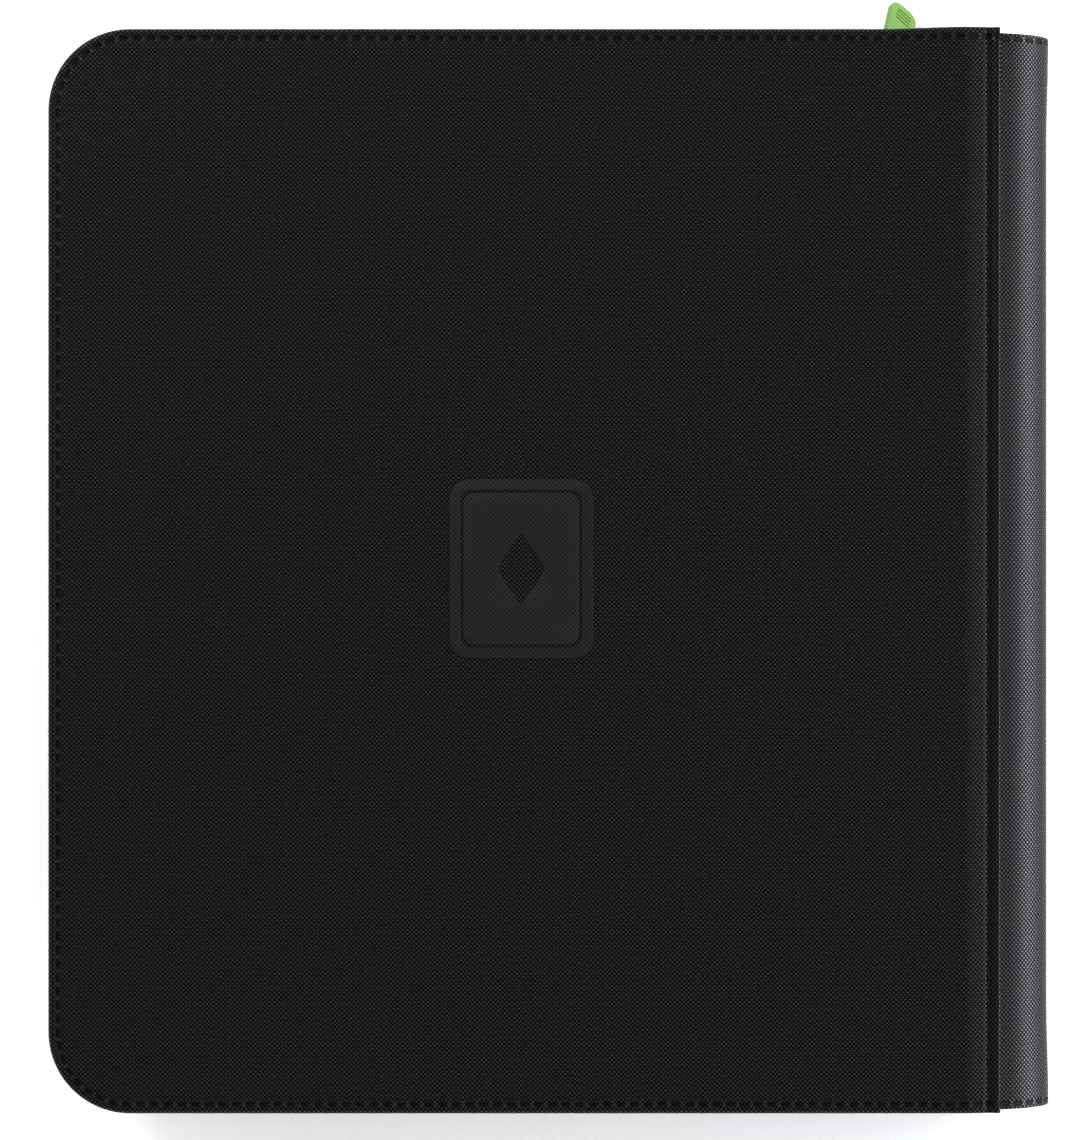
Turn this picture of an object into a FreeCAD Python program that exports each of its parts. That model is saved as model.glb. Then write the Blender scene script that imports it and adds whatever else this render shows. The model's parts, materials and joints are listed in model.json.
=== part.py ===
"""Zip-around trading card binder, lying closed on its front cover.

X runs across the covers with the spine at +X, Y runs along the spine and Z is up.
The origin is the middle of the face that the closed binder rests on.  Two stiff covers,
each a wrapped board with half of a coil zip standing round its edge, are joined by a soft
bowed spine.  Twenty pocket leaves hang in the spine, and a slider with a rubber pull
closes the zip.
"""
import FreeCAD, Part
import math
import os

import Sketcher
from FreeCAD import Placement, Rotation, Vector

DIMENSIONS = {
    # closed binder
    "thickness": 40.0,
    "half_height": 176.0,
    "fore_edge": 163.25,
    "corner_radius": 26.5,
    # cover build-up
    "skin_thickness": 0.9,
    "board_thickness": 2.0,
    "lining_thickness": 0.6,
    "turn_in": 4.4,
    "board_end": 134.0,
    "board_ease": 0.1,
    "lining_end": 144.4,
    "lining_inset": 10.6,
    "hem_end": 145.5,
    "hem_drop": 1.9,
    "dip_radius": 20.0,
    "dip_angle": 22.0,
    # zip
    "tape_inset": 7.8,
    "tape_thickness": 0.6,
    "tape_foot": 2.7,
    "tape_end": 140.0,
    "zip_gap": 0.8,
    "coil_depth": 1.6,
    "coil_width": 2.3,
    "coil_end": 122.0,
    "stop_length": 2.0,
    "stop_depth": 1.9,
    # spine
    "spine_skin_thickness": 0.8,
    "spine_start": 145.9,
    "spine_margin": 3.7,
    "spine_half_length": 175.0,
    "bow_slope": 18.0,
    "bow_ease": 3.0,
    "bow_soft_radius": 24.0,
    "bow_tight_radius": 12.5,
    "spine_lining_face": 145.2,
    "spine_lining_thickness": 0.6,
    "spine_lining_ease": 0.2,
    # pocket leaves
    "leaf_count": 20,
    "leaf_pitch": 1.5,
    "leaf_thickness": 0.5,
    "leaf_fore_edge": 152.0,
    "leaf_half_height": 152.0,
    "leaf_corner": 6.0,
    "leaf_hinge": 142.3,
    "leaf_hinge_gap": 0.3,
    "strip_face": 143.9,
    "strip_margin": 0.9,
    # slider
    "slider_place": 113.6,
    "slider_length": 11.0,
    "slider_half_width": 4.2,
    "slider_plate": 1.2,
    "slider_play": 0.3,
    "slider_lip": 1.0,
    "slider_lip_reach": 1.5,
    "blade_thickness": 0.3,
    "blade_length": 2.5,
    "bail_half_width": 3.2,
    "bail_rise": 2.4,
    "bail_wire_radius": 0.6,
    "bail_bend": 0.9,
    # pull
    "ring_radius": 2.7,
    "ring_wire_radius": 0.45,
    "ring_on_bail": 1.5,
    "ring_on_tab": 1.3,
    "tab_length": 17.5,
    "tab_width": 10.9,
    "tab_thickness": 2.0,
    "tab_corner": 4.0,
    "tab_shoulder": 1.0,
    "neck_width": 4.8,
    "neck_thickness": 1.4,
    "neck_length": 3.4,
    "eye_width": 1.6,
    "pull_yaw": -16.0,
    "pull_pitch": -47.0,
    "pull_roll": 28.0,
}

doc = FreeCAD.newDocument("card_binder")
sheet = doc.addObject("Spreadsheet::Sheet", "Dimensions")
for row, (alias, number) in enumerate(DIMENSIONS.items(), start=1):
    sheet.set(f"A{row}", alias)
    sheet.set(f"B{row}", str(number))
    sheet.setAlias(f"B{row}", alias)
doc.recompute()

D = "Dimensions."
COVER_THICKNESS = f"({D}skin_thickness + {D}board_thickness + {D}lining_thickness)"
FOOT_LEVEL = f"({D}skin_thickness + {D}board_thickness)"
WALL_TOP = f"({D}thickness / 2 - {D}zip_gap / 2)"

sub_parts = []


def value(expression):
    """The number that an expression on the sheet comes to."""
    return float(sheet.evalExpression(expression))


def register(part, name):
    """Name a finished sub-part and put it on the list of those to write."""
    part.Label = name
    sub_parts.append(part)
    return part


def plane(body, role):
    """One of a body's own origin planes."""
    return next(f for f in body.Origin.OriginFeatures if f.Role == role)


def new_sketch(body, name, role="XY_Plane", level=None):
    """A sketch on one of the body's planes, raised to a level where one is given."""
    sketch = body.newObject("Sketcher::SketchObject", name)
    sketch.AttachmentSupport = [(plane(body, role), "")]
    sketch.MapMode = "FlatFace"
    if level is not None:
        sketch.setExpression("AttachmentOffset.Base.z", level)
    return sketch


def dimension(sketch, constraint, name, expression):
    """Add a constraint and drive it from the sheet."""
    index = sketch.addConstraint(constraint)
    sketch.renameConstraint(index, name)
    sketch.setExpression(f"Constraints.{name}", expression)


def square_outline(sketch, corners):
    """A closed outline of level and upright lines; a corner is x, y and a radius or None."""
    points = [Vector(value(x), value(y), 0) for x, y, _ in corners]
    radii = [value(r) if r else 0.0 for _, _, r in corners]
    count = len(corners)
    first = sketch.GeometryCount
    ends = []
    for i in range(count):
        here, there = points[i], points[(i + 1) % count]
        along = (there - here).normalize()
        start = here + along * radii[i]
        stop = there - along * radii[(i + 1) % count]
        line = sketch.addGeometry(Part.LineSegment(start, stop), False)
        ends.append((line, along, start))
        level = abs(along.x) > abs(along.y)
        sketch.addConstraint(Sketcher.Constraint("Horizontal" if level else "Vertical", line))
        kind, text = ("DistanceY", corners[i][1]) if level else ("DistanceX", corners[i][0])
        dimension(sketch, Sketcher.Constraint(kind, -1, 1, line, 1, value(text)),
                  f"side_{first}_{i}", text)
    for i in range(count):
        before, (after, along, start) = ends[i - 1], ends[i]
        if not corners[i][2]:
            sketch.addConstraint(Sketcher.Constraint("Coincident", before[0], 2, after, 1))
            continue
        turn = before[1].cross(along).z
        centre = start - before[1] * radii[i]
        from_angle = math.atan2(-along.y, -along.x)
        to_angle = math.atan2(before[1].y, before[1].x)
        circle = Part.Circle(centre, Vector(0, 0, 1), radii[i])
        if turn > 0:
            arc = Part.ArcOfCircle(circle, from_angle, to_angle)
            joint_points = (1, 2)
        else:
            arc = Part.ArcOfCircle(circle, to_angle, from_angle)
            joint_points = (2, 1)
        bend = sketch.addGeometry(arc, False)
        sketch.addConstraint(Sketcher.Constraint("Tangent", before[0], 2, bend, joint_points[0]))
        sketch.addConstraint(Sketcher.Constraint("Tangent", bend, joint_points[1], after, 1))
        dimension(sketch, Sketcher.Constraint("Radius", bend, radii[i]),
                  f"bend_{first}_{i}", corners[i][2])


def rectangle(left, low, right, high):
    """The corners of a plain rectangle."""
    return [(left, low, None), (right, low, None), (right, high, None), (left, high, None)]


def cover_outline(inset, right):
    """The cover's shape, moved in by an inset: round at the fore-edge, square at the spine."""
    side = f"-({D}fore_edge - {inset})"
    top = f"({D}half_height - {inset})"
    bend = f"({D}corner_radius - {inset})"
    return [(right, top, None), (side, top, bend), (side, f"-{top}", bend), (right, f"-{top}", None)]


def band_outline(outer, inner, right):
    """A band that follows the cover's edge round the three sides away from the spine."""
    return cover_outline(outer, right) + cover_outline(inner, right)[::-1]


def pad(body, sketch, length, symmetric=False):
    """Pad a sketch by a length from the sheet."""
    feature = body.newObject("PartDesign::Pad", sketch.Name + "_pad")
    feature.Profile = sketch
    feature.setExpression("Length", length)
    if symmetric:
        feature.SideType = "Symmetric"
    return feature


def pocket(body, sketch, depth, symmetric=False):
    """Cut a sketch down into a body by a depth from the sheet."""
    feature = body.newObject("PartDesign::Pocket", sketch.Name + "_pocket")
    feature.Profile = sketch
    feature.setExpression("Length", depth)
    if symmetric:
        feature.SideType = "Symmetric"
    return feature


def new_body(name):
    """An empty body that is one sub-part."""
    return register(doc.addObject("PartDesign::Body", name), name)


def box(name, low, size):
    """A plain block, its corner and its sizes driven from the sheet."""
    block = doc.addObject("Part::Box", name)
    for axis, text in zip("xyz", low):
        block.setExpression(f"Placement.Base.{axis}", text)
    for side, text in zip(("Length", "Width", "Height"), size):
        block.setExpression(side, text)
    return block


def lay(part, level, flipped):
    """Set a cover's piece at its level; the back cover is the front one turned over."""
    if flipped:
        part.Placement = Placement(Vector(), Rotation(Vector(1, 0, 0), 180))
        part.setExpression("Placement.Base.z", f"{D}thickness - {level}")
    else:
        part.setExpression("Placement.Base.z", level)


def cover_skin(name, flipped):
    """Outer skin: flat face, edge turned over the board, and the hem that dips to the spine."""
    body = new_body(name)
    face = new_sketch(body, name + "_face")
    square_outline(face, cover_outline("0", f"{D}board_end"))
    pad(body, face, COVER_THICKNESS)
    far = f"({D}board_end + 1)"
    mouth = new_sketch(body, name + "_mouth", level=COVER_THICKNESS)
    square_outline(mouth, cover_outline(f"{D}turn_in", far))
    pocket(body, mouth, f"{COVER_THICKNESS} - {D}skin_thickness")
    seat = new_sketch(body, name + "_seat", level=FOOT_LEVEL)
    square_outline(seat, cover_outline(f"{D}skin_thickness", far))
    pocket(body, seat, f"{D}board_thickness")
    hem = new_sketch(body, name + "_hem", role="XZ_Plane")
    hem_section(hem)
    pad(body, hem, f"2 * {D}half_height", symmetric=True)
    lay(body, "0", flipped)


def hem_section(sketch):
    """Section of the skin where it dips off the board and ends in the hem."""
    start, end, skin = value(f"{D}board_end"), value(f"{D}hem_end"), value(f"{D}skin_thickness")
    radius, angle = value(f"{D}dip_radius"), math.radians(value(f"{D}dip_angle"))
    drop = value(f"{D}hem_drop")
    centre = Vector(start, radius, 0)
    foot = -math.pi / 2
    outer = Part.ArcOfCircle(Part.Circle(centre, Vector(0, 0, 1), radius), foot, foot + angle)
    inner = Part.ArcOfCircle(Part.Circle(centre, Vector(0, 0, 1), radius - skin), foot, foot + angle)
    toe = [Vector(end, drop, 0), Vector(end, drop + skin, 0)]
    sketch.addGeometry([outer, inner,
                        Part.LineSegment(outer.EndPoint, toe[0]), Part.LineSegment(*toe),
                        Part.LineSegment(toe[1], inner.EndPoint),
                        Part.LineSegment(inner.StartPoint, outer.StartPoint)], False)
    OUTER, INNER, FACE, TOE, BACK, ROOT = range(6)
    link = Sketcher.Constraint
    for pair in ((OUTER, 2, FACE, 1), (FACE, 2, TOE, 1), (TOE, 2, BACK, 1), (BACK, 2, INNER, 2),
                 (INNER, 1, ROOT, 1), (ROOT, 2, OUTER, 1), (OUTER, 3, INNER, 3)):
        sketch.addConstraint(link("Coincident", *pair))
    sketch.addConstraint(link("Vertical", ROOT))
    sketch.addConstraint(link("Vertical", TOE))
    sketch.addConstraint(link("Vertical", OUTER, 3, OUTER, 1))
    sketch.addConstraint(link("Parallel", FACE, BACK))
    dimension(sketch, link("DistanceX", -1, 1, OUTER, 1, start), "start", f"{D}board_end")
    sketch.addConstraint(link("PointOnObject", OUTER, 1, -1))
    dimension(sketch, link("Radius", OUTER, radius), "dip", f"{D}dip_radius")
    dimension(sketch, link("Distance", ROOT, skin), "skin", f"{D}skin_thickness")
    dimension(sketch, link("DistanceX", -1, 1, TOE, 1, end), "end", f"{D}hem_end")
    dimension(sketch, link("DistanceY", -1, 1, TOE, 1, drop), "drop", f"{D}hem_drop")
    dimension(sketch, link("DistanceX", OUTER, 1, OUTER, 2, radius * math.sin(angle)), "run",
              f"{D}dip_radius * sin({D}dip_angle * 1 deg)")


def cover_board(name, flipped):
    """Stiff board that the skin is wrapped round."""
    body = new_body(name)
    face = new_sketch(body, name + "_face")
    inset = f"({D}skin_thickness + {D}board_ease)"
    square_outline(face, cover_outline(inset, f"{D}board_end"))
    pad(body, face, f"{D}board_thickness")
    lay(body, f"{D}skin_thickness", flipped)


def cover_lining(name, flipped):
    """Cloth lining inside the cover, within the foot of the zip tape."""
    body = new_body(name)
    face = new_sketch(body, name + "_face")
    square_outline(face, cover_outline(f"{D}lining_inset", f"{D}lining_end"))
    pad(body, face, f"{D}lining_thickness")
    lay(body, FOOT_LEVEL, flipped)


def zip_tape(name, flipped):
    """Half of the zip's woven tape: a foot sewn under the lining and a wall that stands up."""
    body = new_body(name)
    wall = new_sketch(body, name + "_wall")
    wall_inner = f"({D}tape_inset + {D}tape_thickness)"
    square_outline(wall, band_outline(f"{D}tape_inset", wall_inner, f"{D}tape_end"))
    pad(body, wall, f"{WALL_TOP} - {FOOT_LEVEL}")
    foot = new_sketch(body, name + "_foot")
    foot_inner = f"({D}tape_inset + {D}tape_foot)"
    square_outline(foot, band_outline(f"{D}tape_inset", foot_inner, f"{D}tape_end"))
    pad(body, foot, f"{D}lining_thickness")
    lay(body, FOOT_LEVEL, flipped)


def zip_coil(name, flipped):
    """Coil row sewn to the outer face of the tape along its free edge."""
    body = new_body(name)
    row = new_sketch(body, name + "_row")
    outer = f"({D}tape_inset - {D}coil_depth)"
    square_outline(row, band_outline(outer, f"{D}tape_inset", f"{D}coil_end"))
    pad(body, row, f"{D}coil_width")
    lay(body, f"({WALL_TOP} - {D}coil_width)", flipped)


def zip_stops(name, flipped):
    """The two small stops that end a coil row."""
    low = f"{D}thickness - {WALL_TOP}" if flipped else f"{WALL_TOP} - {D}coil_width"
    face = f"({D}half_height - {D}tape_inset)"
    size = (f"{D}stop_length", f"{D}stop_depth", f"{D}coil_width")
    start = f"{D}coil_end + {D}board_ease"
    upper = box(name + "_upper", (start, face, low), size)
    lower = box(name + "_lower", (start, f"-{face} - {D}stop_depth", low), size)
    pair = doc.addObject("Part::Compound", name)
    pair.Links = [upper, lower]
    register(pair, name)


def cover(side, flipped):
    """All the pieces of one cover with its half of the zip."""
    cover_skin(f"{side}_cover_skin", flipped)
    cover_board(f"{side}_cover_board", flipped)
    cover_lining(f"{side}_cover_lining", flipped)
    zip_tape(f"{side}_zip_tape", flipped)
    zip_coil(f"{side}_zip_coil", flipped)
    zip_stops(f"{side}_zip_stops", flipped)


def spine_path(sketch):
    """Inner line of the bowed spine: short straight ends, two soft bends and a tight middle."""
    start, low = value(f"{D}spine_start"), value(f"{D}spine_margin")
    high = value(f"{D}thickness") - low
    slope, ease = math.radians(value(f"{D}bow_slope")), value(f"{D}bow_ease")
    soft, tight = value(f"{D}bow_soft_radius"), value(f"{D}bow_tight_radius")
    middle = (low + high) / 2
    root = Vector(start, low, 0)
    lead = root + Vector(math.cos(slope), math.sin(slope), 0) * ease
    centre = lead + Vector(-math.sin(slope), math.cos(slope), 0) * soft
    meet = math.asin((middle - centre.y) / (soft - tight))
    nose = Vector(centre.x + (soft - tight) * math.cos(meet), middle, 0)
    mirror = Vector(centre.x, 2 * middle - centre.y, 0)
    axis = Vector(0, 0, 1)
    first = slope - math.pi / 2
    sketch.addGeometry([
        Part.LineSegment(root, lead),
        Part.ArcOfCircle(Part.Circle(centre, axis, soft), first, meet),
        Part.ArcOfCircle(Part.Circle(nose, axis, tight), meet, -meet),
        Part.ArcOfCircle(Part.Circle(mirror, axis, soft), -meet, -first),
        Part.LineSegment(Vector(lead.x, 2 * middle - lead.y, 0), Vector(start, high, 0)),
    ], False)
    LOWER, LOWER_BEND, NOSE, UPPER_BEND, UPPER = range(5)
    link = Sketcher.Constraint
    for near, far in ((LOWER, LOWER_BEND), (LOWER_BEND, NOSE), (NOSE, UPPER_BEND), (UPPER_BEND, UPPER)):
        sketch.addConstraint(link("Tangent", near, 2, far, 1))
    sketch.addConstraint(link("Vertical", LOWER, 1, UPPER, 2))
    sketch.addConstraint(link("Vertical", LOWER, 2, UPPER, 1))
    sketch.addConstraint(link("Equal", LOWER, UPPER))
    sketch.addConstraint(link("Equal", LOWER_BEND, UPPER_BEND))
    dimension(sketch, link("DistanceX", -1, 1, LOWER, 1, start), "start", f"{D}spine_start")
    dimension(sketch, link("DistanceY", -1, 1, LOWER, 1, low), "margin", f"{D}spine_margin")
    dimension(sketch, link("DistanceY", LOWER, 1, UPPER, 2, high - low), "gap",
              f"{D}thickness - 2 * {D}spine_margin")
    dimension(sketch, link("Angle", LOWER, slope), "slope", f"{D}bow_slope * 1 deg")
    dimension(sketch, link("Distance", LOWER, ease), "ease", f"{D}bow_ease")
    dimension(sketch, link("Radius", LOWER_BEND, soft), "soft", f"{D}bow_soft_radius")
    dimension(sketch, link("Radius", NOSE, tight), "tight", f"{D}bow_tight_radius")


def spine_skin(name):
    """Soft outer skin that bows out between the covers."""
    path = doc.addObject("Sketcher::SketchObject", name + "_path")
    path.Placement = Placement(Vector(), Rotation(Vector(1, 0, 0), 90))
    spine_path(path)
    wall = doc.addObject("Part::Offset2D", name + "_section")
    wall.Source = path
    wall.Mode = "Skin"
    wall.Fill = True
    wall.setExpression("Value", f"-{D}spine_skin_thickness")
    skin = doc.addObject("Part::Extrusion", name)
    skin.Base = wall
    skin.DirMode = "Normal"
    skin.Solid = True
    skin.Symmetric = True
    skin.setExpression("LengthFwd", f"2 * {D}spine_half_length")
    register(skin, name)


def spine_lining(name):
    """Flat cloth strip that closes the spine off from the leaves."""
    edge = f"({D}spine_margin + {D}spine_lining_ease)"
    low = (f"{D}spine_lining_face", f"-{D}leaf_half_height", edge)
    size = (f"{D}spine_lining_thickness", f"2 * {D}leaf_half_height", f"{D}thickness - 2 * {edge}")
    register(box(name, low, size), name)


def binding_strip(name):
    """Stiff strip on the lining that all the leaves are welded to."""
    edge = f"({D}spine_margin + {D}strip_margin)"
    low = (f"{D}strip_face", f"-{D}leaf_half_height", edge)
    size = (f"{D}spine_lining_face - {D}strip_face", f"2 * {D}leaf_half_height",
            f"{D}thickness - 2 * {edge}")
    register(box(name, low, size), name)


def leaf_level(number):
    """Underside of a leaf, counted from 1 at the front cover."""
    step = f"({number} - ({D}leaf_count + 1) / 2)"
    return f"({D}thickness / 2 + {step} * {D}leaf_pitch - {D}leaf_thickness / 2)"


def leaf_roots(name):
    """Welded root of every leaf, on the strip's side of its fold line."""
    start = f"({D}leaf_hinge + {D}leaf_hinge_gap)"
    size = (f"{D}strip_face - {start}", f"2 * {D}leaf_half_height", f"{D}leaf_thickness")
    roots = []
    for number in range(1, int(value(f"{D}leaf_count")) + 1):
        low = (start, f"-{D}leaf_half_height", leaf_level(number))
        roots.append(box(f"{name}_{number:02d}", low, size))
    comb = doc.addObject("Part::Compound", name)
    comb.Links = roots
    register(comb, name)


def leaf(number):
    """One pocket leaf, rounded at its two free corners."""
    name = f"page_{number:02d}"
    body = new_body(name)
    face = new_sketch(body, name + "_face")
    left, right = f"-{D}leaf_fore_edge", f"({D}leaf_hinge - {D}leaf_hinge_gap)"
    top, bend = f"{D}leaf_half_height", f"{D}leaf_corner"
    square_outline(face, [(right, top, None), (left, top, bend),
                          (left, f"-{top}", bend), (right, f"-{top}", None)])
    pad(body, face, f"{D}leaf_thickness")
    body.setExpression("Placement.Base.z", leaf_level(number))


TAPE_FACE = f"({D}half_height - {D}tape_inset)"
CHANNEL = f"({D}coil_depth + {D}slider_play)"
PLATE_FACE = f"({CHANNEL} + {D}slider_plate)"


def zip_slider(name):
    """Slider: an outer plate with one lip and an inner plate, joined by a thin blade."""
    body = new_body(name)
    half = f"{D}slider_half_width"
    outer = new_sketch(body, name + "_outer", role="YZ_Plane")
    lip_top, lip_end = f"(-{half} + {D}slider_lip)", f"({CHANNEL} - {D}slider_lip_reach)"
    square_outline(outer, [(PLATE_FACE, f"-{half}", None), (PLATE_FACE, half, None),
                           (CHANNEL, half, None), (CHANNEL, lip_top, None),
                           (lip_end, lip_top, None), (lip_end, f"-{half}", None)])
    pad(body, outer, f"{D}slider_length", symmetric=True)
    back = f"(-{D}tape_thickness - {D}slider_play)"
    thin = f"{D}blade_thickness / 2"
    offset = f"({D}slider_length / 2 - {D}blade_length)"
    blade = new_sketch(body, name + "_blade", role="YZ_Plane", level=offset)
    square_outline(blade, rectangle(back, f"-{thin}", CHANNEL, thin))
    pad(body, blade, f"{D}blade_length")
    inner = new_sketch(body, name + "_inner", role="YZ_Plane")
    square_outline(inner, rectangle(f"({back} - {D}slider_plate)", f"-{half}", back, half))
    pad(body, inner, f"{D}slider_length", symmetric=True)
    place_on_slider(body, TAPE_FACE)


def place_on_slider(part, along_y):
    """Put a piece at the slider's place on the zip, at a distance out from the middle."""
    part.setExpression("Placement.Base.x", f"{D}slider_place")
    part.setExpression("Placement.Base.y", along_y)
    part.setExpression("Placement.Base.z", f"{D}thickness / 2")


def slider_bail(name):
    """Wire loop on the outer plate that the pull's ring hangs in."""
    body = new_body(name)
    half, rise, bend = value(f"{D}bail_half_width"), value(f"{D}bail_rise"), value(f"{D}bail_bend")
    path = new_sketch(body, name + "_path")
    axis = Vector(0, 0, 1)
    left_bend = Part.Circle(Vector(-half + bend, rise - bend, 0), axis, bend)
    right_bend = Part.Circle(Vector(half - bend, rise - bend, 0), axis, bend)
    path.addGeometry([
        Part.LineSegment(Vector(-half, 0, 0), Vector(-half, rise - bend, 0)),
        Part.ArcOfCircle(left_bend, math.pi / 2, math.pi),
        Part.LineSegment(Vector(-half + bend, rise, 0), Vector(half - bend, rise, 0)),
        Part.ArcOfCircle(right_bend, 0, math.pi / 2),
        Part.LineSegment(Vector(half, rise - bend, 0), Vector(half, 0, 0)),
    ], False)
    LEFT, LEFT_BEND, BAR, RIGHT_BEND, RIGHT = range(5)
    link = Sketcher.Constraint
    path.addConstraint(link("Tangent", LEFT, 2, LEFT_BEND, 2))
    path.addConstraint(link("Tangent", LEFT_BEND, 1, BAR, 1))
    path.addConstraint(link("Tangent", BAR, 2, RIGHT_BEND, 2))
    path.addConstraint(link("Tangent", RIGHT_BEND, 1, RIGHT, 1))
    path.addConstraint(link("Vertical", LEFT))
    path.addConstraint(link("Vertical", RIGHT))
    path.addConstraint(link("Horizontal", BAR))
    path.addConstraint(link("PointOnObject", LEFT, 1, -1))
    path.addConstraint(link("PointOnObject", RIGHT, 2, -1))
    dimension(path, link("DistanceX", -1, 1, RIGHT, 2, half), "right", f"{D}bail_half_width")
    dimension(path, link("DistanceX", LEFT, 1, -1, 1, half), "left", f"{D}bail_half_width")
    dimension(path, link("DistanceY", -1, 1, BAR, 1, rise), "rise", f"{D}bail_rise")
    dimension(path, link("Radius", LEFT_BEND, bend), "bend_left", f"{D}bail_bend")
    dimension(path, link("Radius", RIGHT_BEND, bend), "bend_right", f"{D}bail_bend")
    section = new_sketch(body, name + "_section", role="XZ_Plane")
    wire = value(f"{D}bail_wire_radius")
    section.addGeometry(Part.Circle(Vector(-half, 0, 0), axis, wire), False)
    section.addConstraint(link("PointOnObject", 0, 3, -1))
    dimension(section, link("DistanceX", 0, 3, -1, 1, half), "centre", f"{D}bail_half_width")
    dimension(section, link("Radius", 0, wire), "wire", f"{D}bail_wire_radius")
    sweep = body.newObject("PartDesign::AdditivePipe", name + "_sweep")
    sweep.Profile = section
    sweep.Spine = (path, [])
    place_on_slider(body, f"{TAPE_FACE} + {PLATE_FACE}")


def pull_rotation():
    """How the pull hangs: turned about Z, tipped down, then rolled on its own length."""
    yaw = Rotation(Vector(0, 0, 1), value(f"{D}pull_yaw"))
    pitch = Rotation(Vector(1, 0, 0), value(f"{D}pull_pitch"))
    roll = Rotation(Vector(0, 1, 0), value(f"{D}pull_roll"))
    return yaw * pitch * roll


def bail_bar():
    """Middle of the bail's bar, where the ring hangs."""
    out = value(f"{TAPE_FACE} + {PLATE_FACE} + {D}bail_rise")
    return Vector(value(f"{D}slider_place"), out, value(f"{D}thickness / 2"))


def pull_ring(name):
    """Wire ring that joins the bail and the tab."""
    ring = doc.addObject("Part::Torus", name)
    ring.setExpression("Radius1", f"{D}ring_radius")
    ring.setExpression("Radius2", f"{D}ring_wire_radius")
    turn = pull_rotation()
    centre = bail_bar() + turn.multVec(Vector(0, value(f"{D}ring_on_bail"), 0))
    ring.Placement = Placement(centre, turn * Rotation(Vector(0, 1, 0), 90))
    register(ring, name)


def pull_tab(name):
    """Soft rubber tab, thinner round the eye that the ring goes through."""
    body = new_body(name)
    half, bar = f"({D}tab_width / 2)", f"({D}neck_thickness / 2)"
    corner, shoulder = f"{D}tab_corner", f"{D}tab_shoulder"
    neck_half, neck_end, tip = f"({D}neck_width / 2)", f"{D}neck_length", f"{D}tab_length"
    blade = new_sketch(body, name + "_blade")
    square_outline(blade, [(half, f"-{bar}", shoulder), (half, tip, corner),
                           (f"-{half}", tip, corner), (f"-{half}", f"-{bar}", shoulder)])
    pad(body, blade, f"{D}tab_thickness", symmetric=True)
    recess = new_sketch(body, name + "_recess")
    square_outline(recess, rectangle(f"-{neck_half}", f"-{D}tab_thickness", neck_half, neck_end))
    pocket(body, recess, f"{D}tab_thickness", symmetric=True)
    neck = new_sketch(body, name + "_neck")
    square_outline(neck, rectangle(f"-{neck_half}", f"-{bar}", neck_half, neck_end))
    pad(body, neck, f"{D}neck_thickness", symmetric=True)
    eye = new_sketch(body, name + "_eye")
    eye_half = f"({D}eye_width / 2)"
    square_outline(eye, rectangle(f"-{eye_half}", bar, eye_half, f"({neck_end} - {bar} / 2)"))
    pocket(body, eye, f"{D}tab_thickness", symmetric=True)
    turn = pull_rotation()
    reach = value(f"{D}ring_on_bail + {D}ring_on_tab")
    body.Placement = Placement(bail_bar() + turn.multVec(Vector(0, reach, 0)), turn)


def check_and_write():
    """Stop on any failed object, then write each sub-part to its own file."""
    failed = [o.Name for o in doc.Objects if {"Invalid", "Error"} & set(o.State)]
    if failed:
        raise RuntimeError("failed objects: " + ", ".join(failed))
    for part in sub_parts:
        if part.Shape.isNull() or not part.Shape.isValid() or not part.Shape.Solids:
            raise RuntimeError("bad shape: " + part.Label)
    os.makedirs("parts", exist_ok=True)
    for part in sub_parts:
        part.Shape.exportStep(f"parts/{part.Label}.step")


cover("front", flipped=False)
cover("back", flipped=True)
spine_skin("spine_skin")
spine_lining("spine_lining")
binding_strip("page_binding_strip")
leaf_roots("page_roots")
for leaf_number in range(1, int(value(f"{D}leaf_count")) + 1):
    leaf(leaf_number)
zip_slider("zip_slider")
slider_bail("slider_bail")
pull_ring("pull_ring")
pull_tab("pull_tab")
doc.recompute()
check_and_write()
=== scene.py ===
"""Zip-around trading card binder: the visible pieces, their finishes and the stage."""
import json
import math
from operator import attrgetter

import bmesh
import bpy
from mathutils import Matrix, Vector


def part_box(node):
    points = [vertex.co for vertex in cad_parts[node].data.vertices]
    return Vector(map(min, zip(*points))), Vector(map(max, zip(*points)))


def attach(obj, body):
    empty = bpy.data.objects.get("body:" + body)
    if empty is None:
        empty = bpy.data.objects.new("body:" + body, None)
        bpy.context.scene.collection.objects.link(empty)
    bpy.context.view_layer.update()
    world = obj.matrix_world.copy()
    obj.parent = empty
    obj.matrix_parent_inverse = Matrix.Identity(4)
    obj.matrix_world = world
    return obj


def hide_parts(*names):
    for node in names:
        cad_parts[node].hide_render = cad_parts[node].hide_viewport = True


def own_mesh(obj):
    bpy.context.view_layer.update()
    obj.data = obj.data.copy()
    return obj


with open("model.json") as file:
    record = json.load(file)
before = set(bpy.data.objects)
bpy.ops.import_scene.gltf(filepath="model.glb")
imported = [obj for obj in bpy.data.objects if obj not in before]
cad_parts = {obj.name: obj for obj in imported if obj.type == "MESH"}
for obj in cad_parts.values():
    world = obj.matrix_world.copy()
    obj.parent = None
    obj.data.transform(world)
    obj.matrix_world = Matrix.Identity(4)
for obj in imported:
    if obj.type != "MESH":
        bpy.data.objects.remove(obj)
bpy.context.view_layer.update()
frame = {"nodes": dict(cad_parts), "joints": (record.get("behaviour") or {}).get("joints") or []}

bl_info = {
    "name": "Trading card binder",
    "version": (1, 0, 0),
    "blender": (4, 5, 0),
    "location": "View3D > Sidebar > Binder",
    "description": "Builds a zip-around card binder round its packed frame",
    "category": "Object",
}

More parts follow.
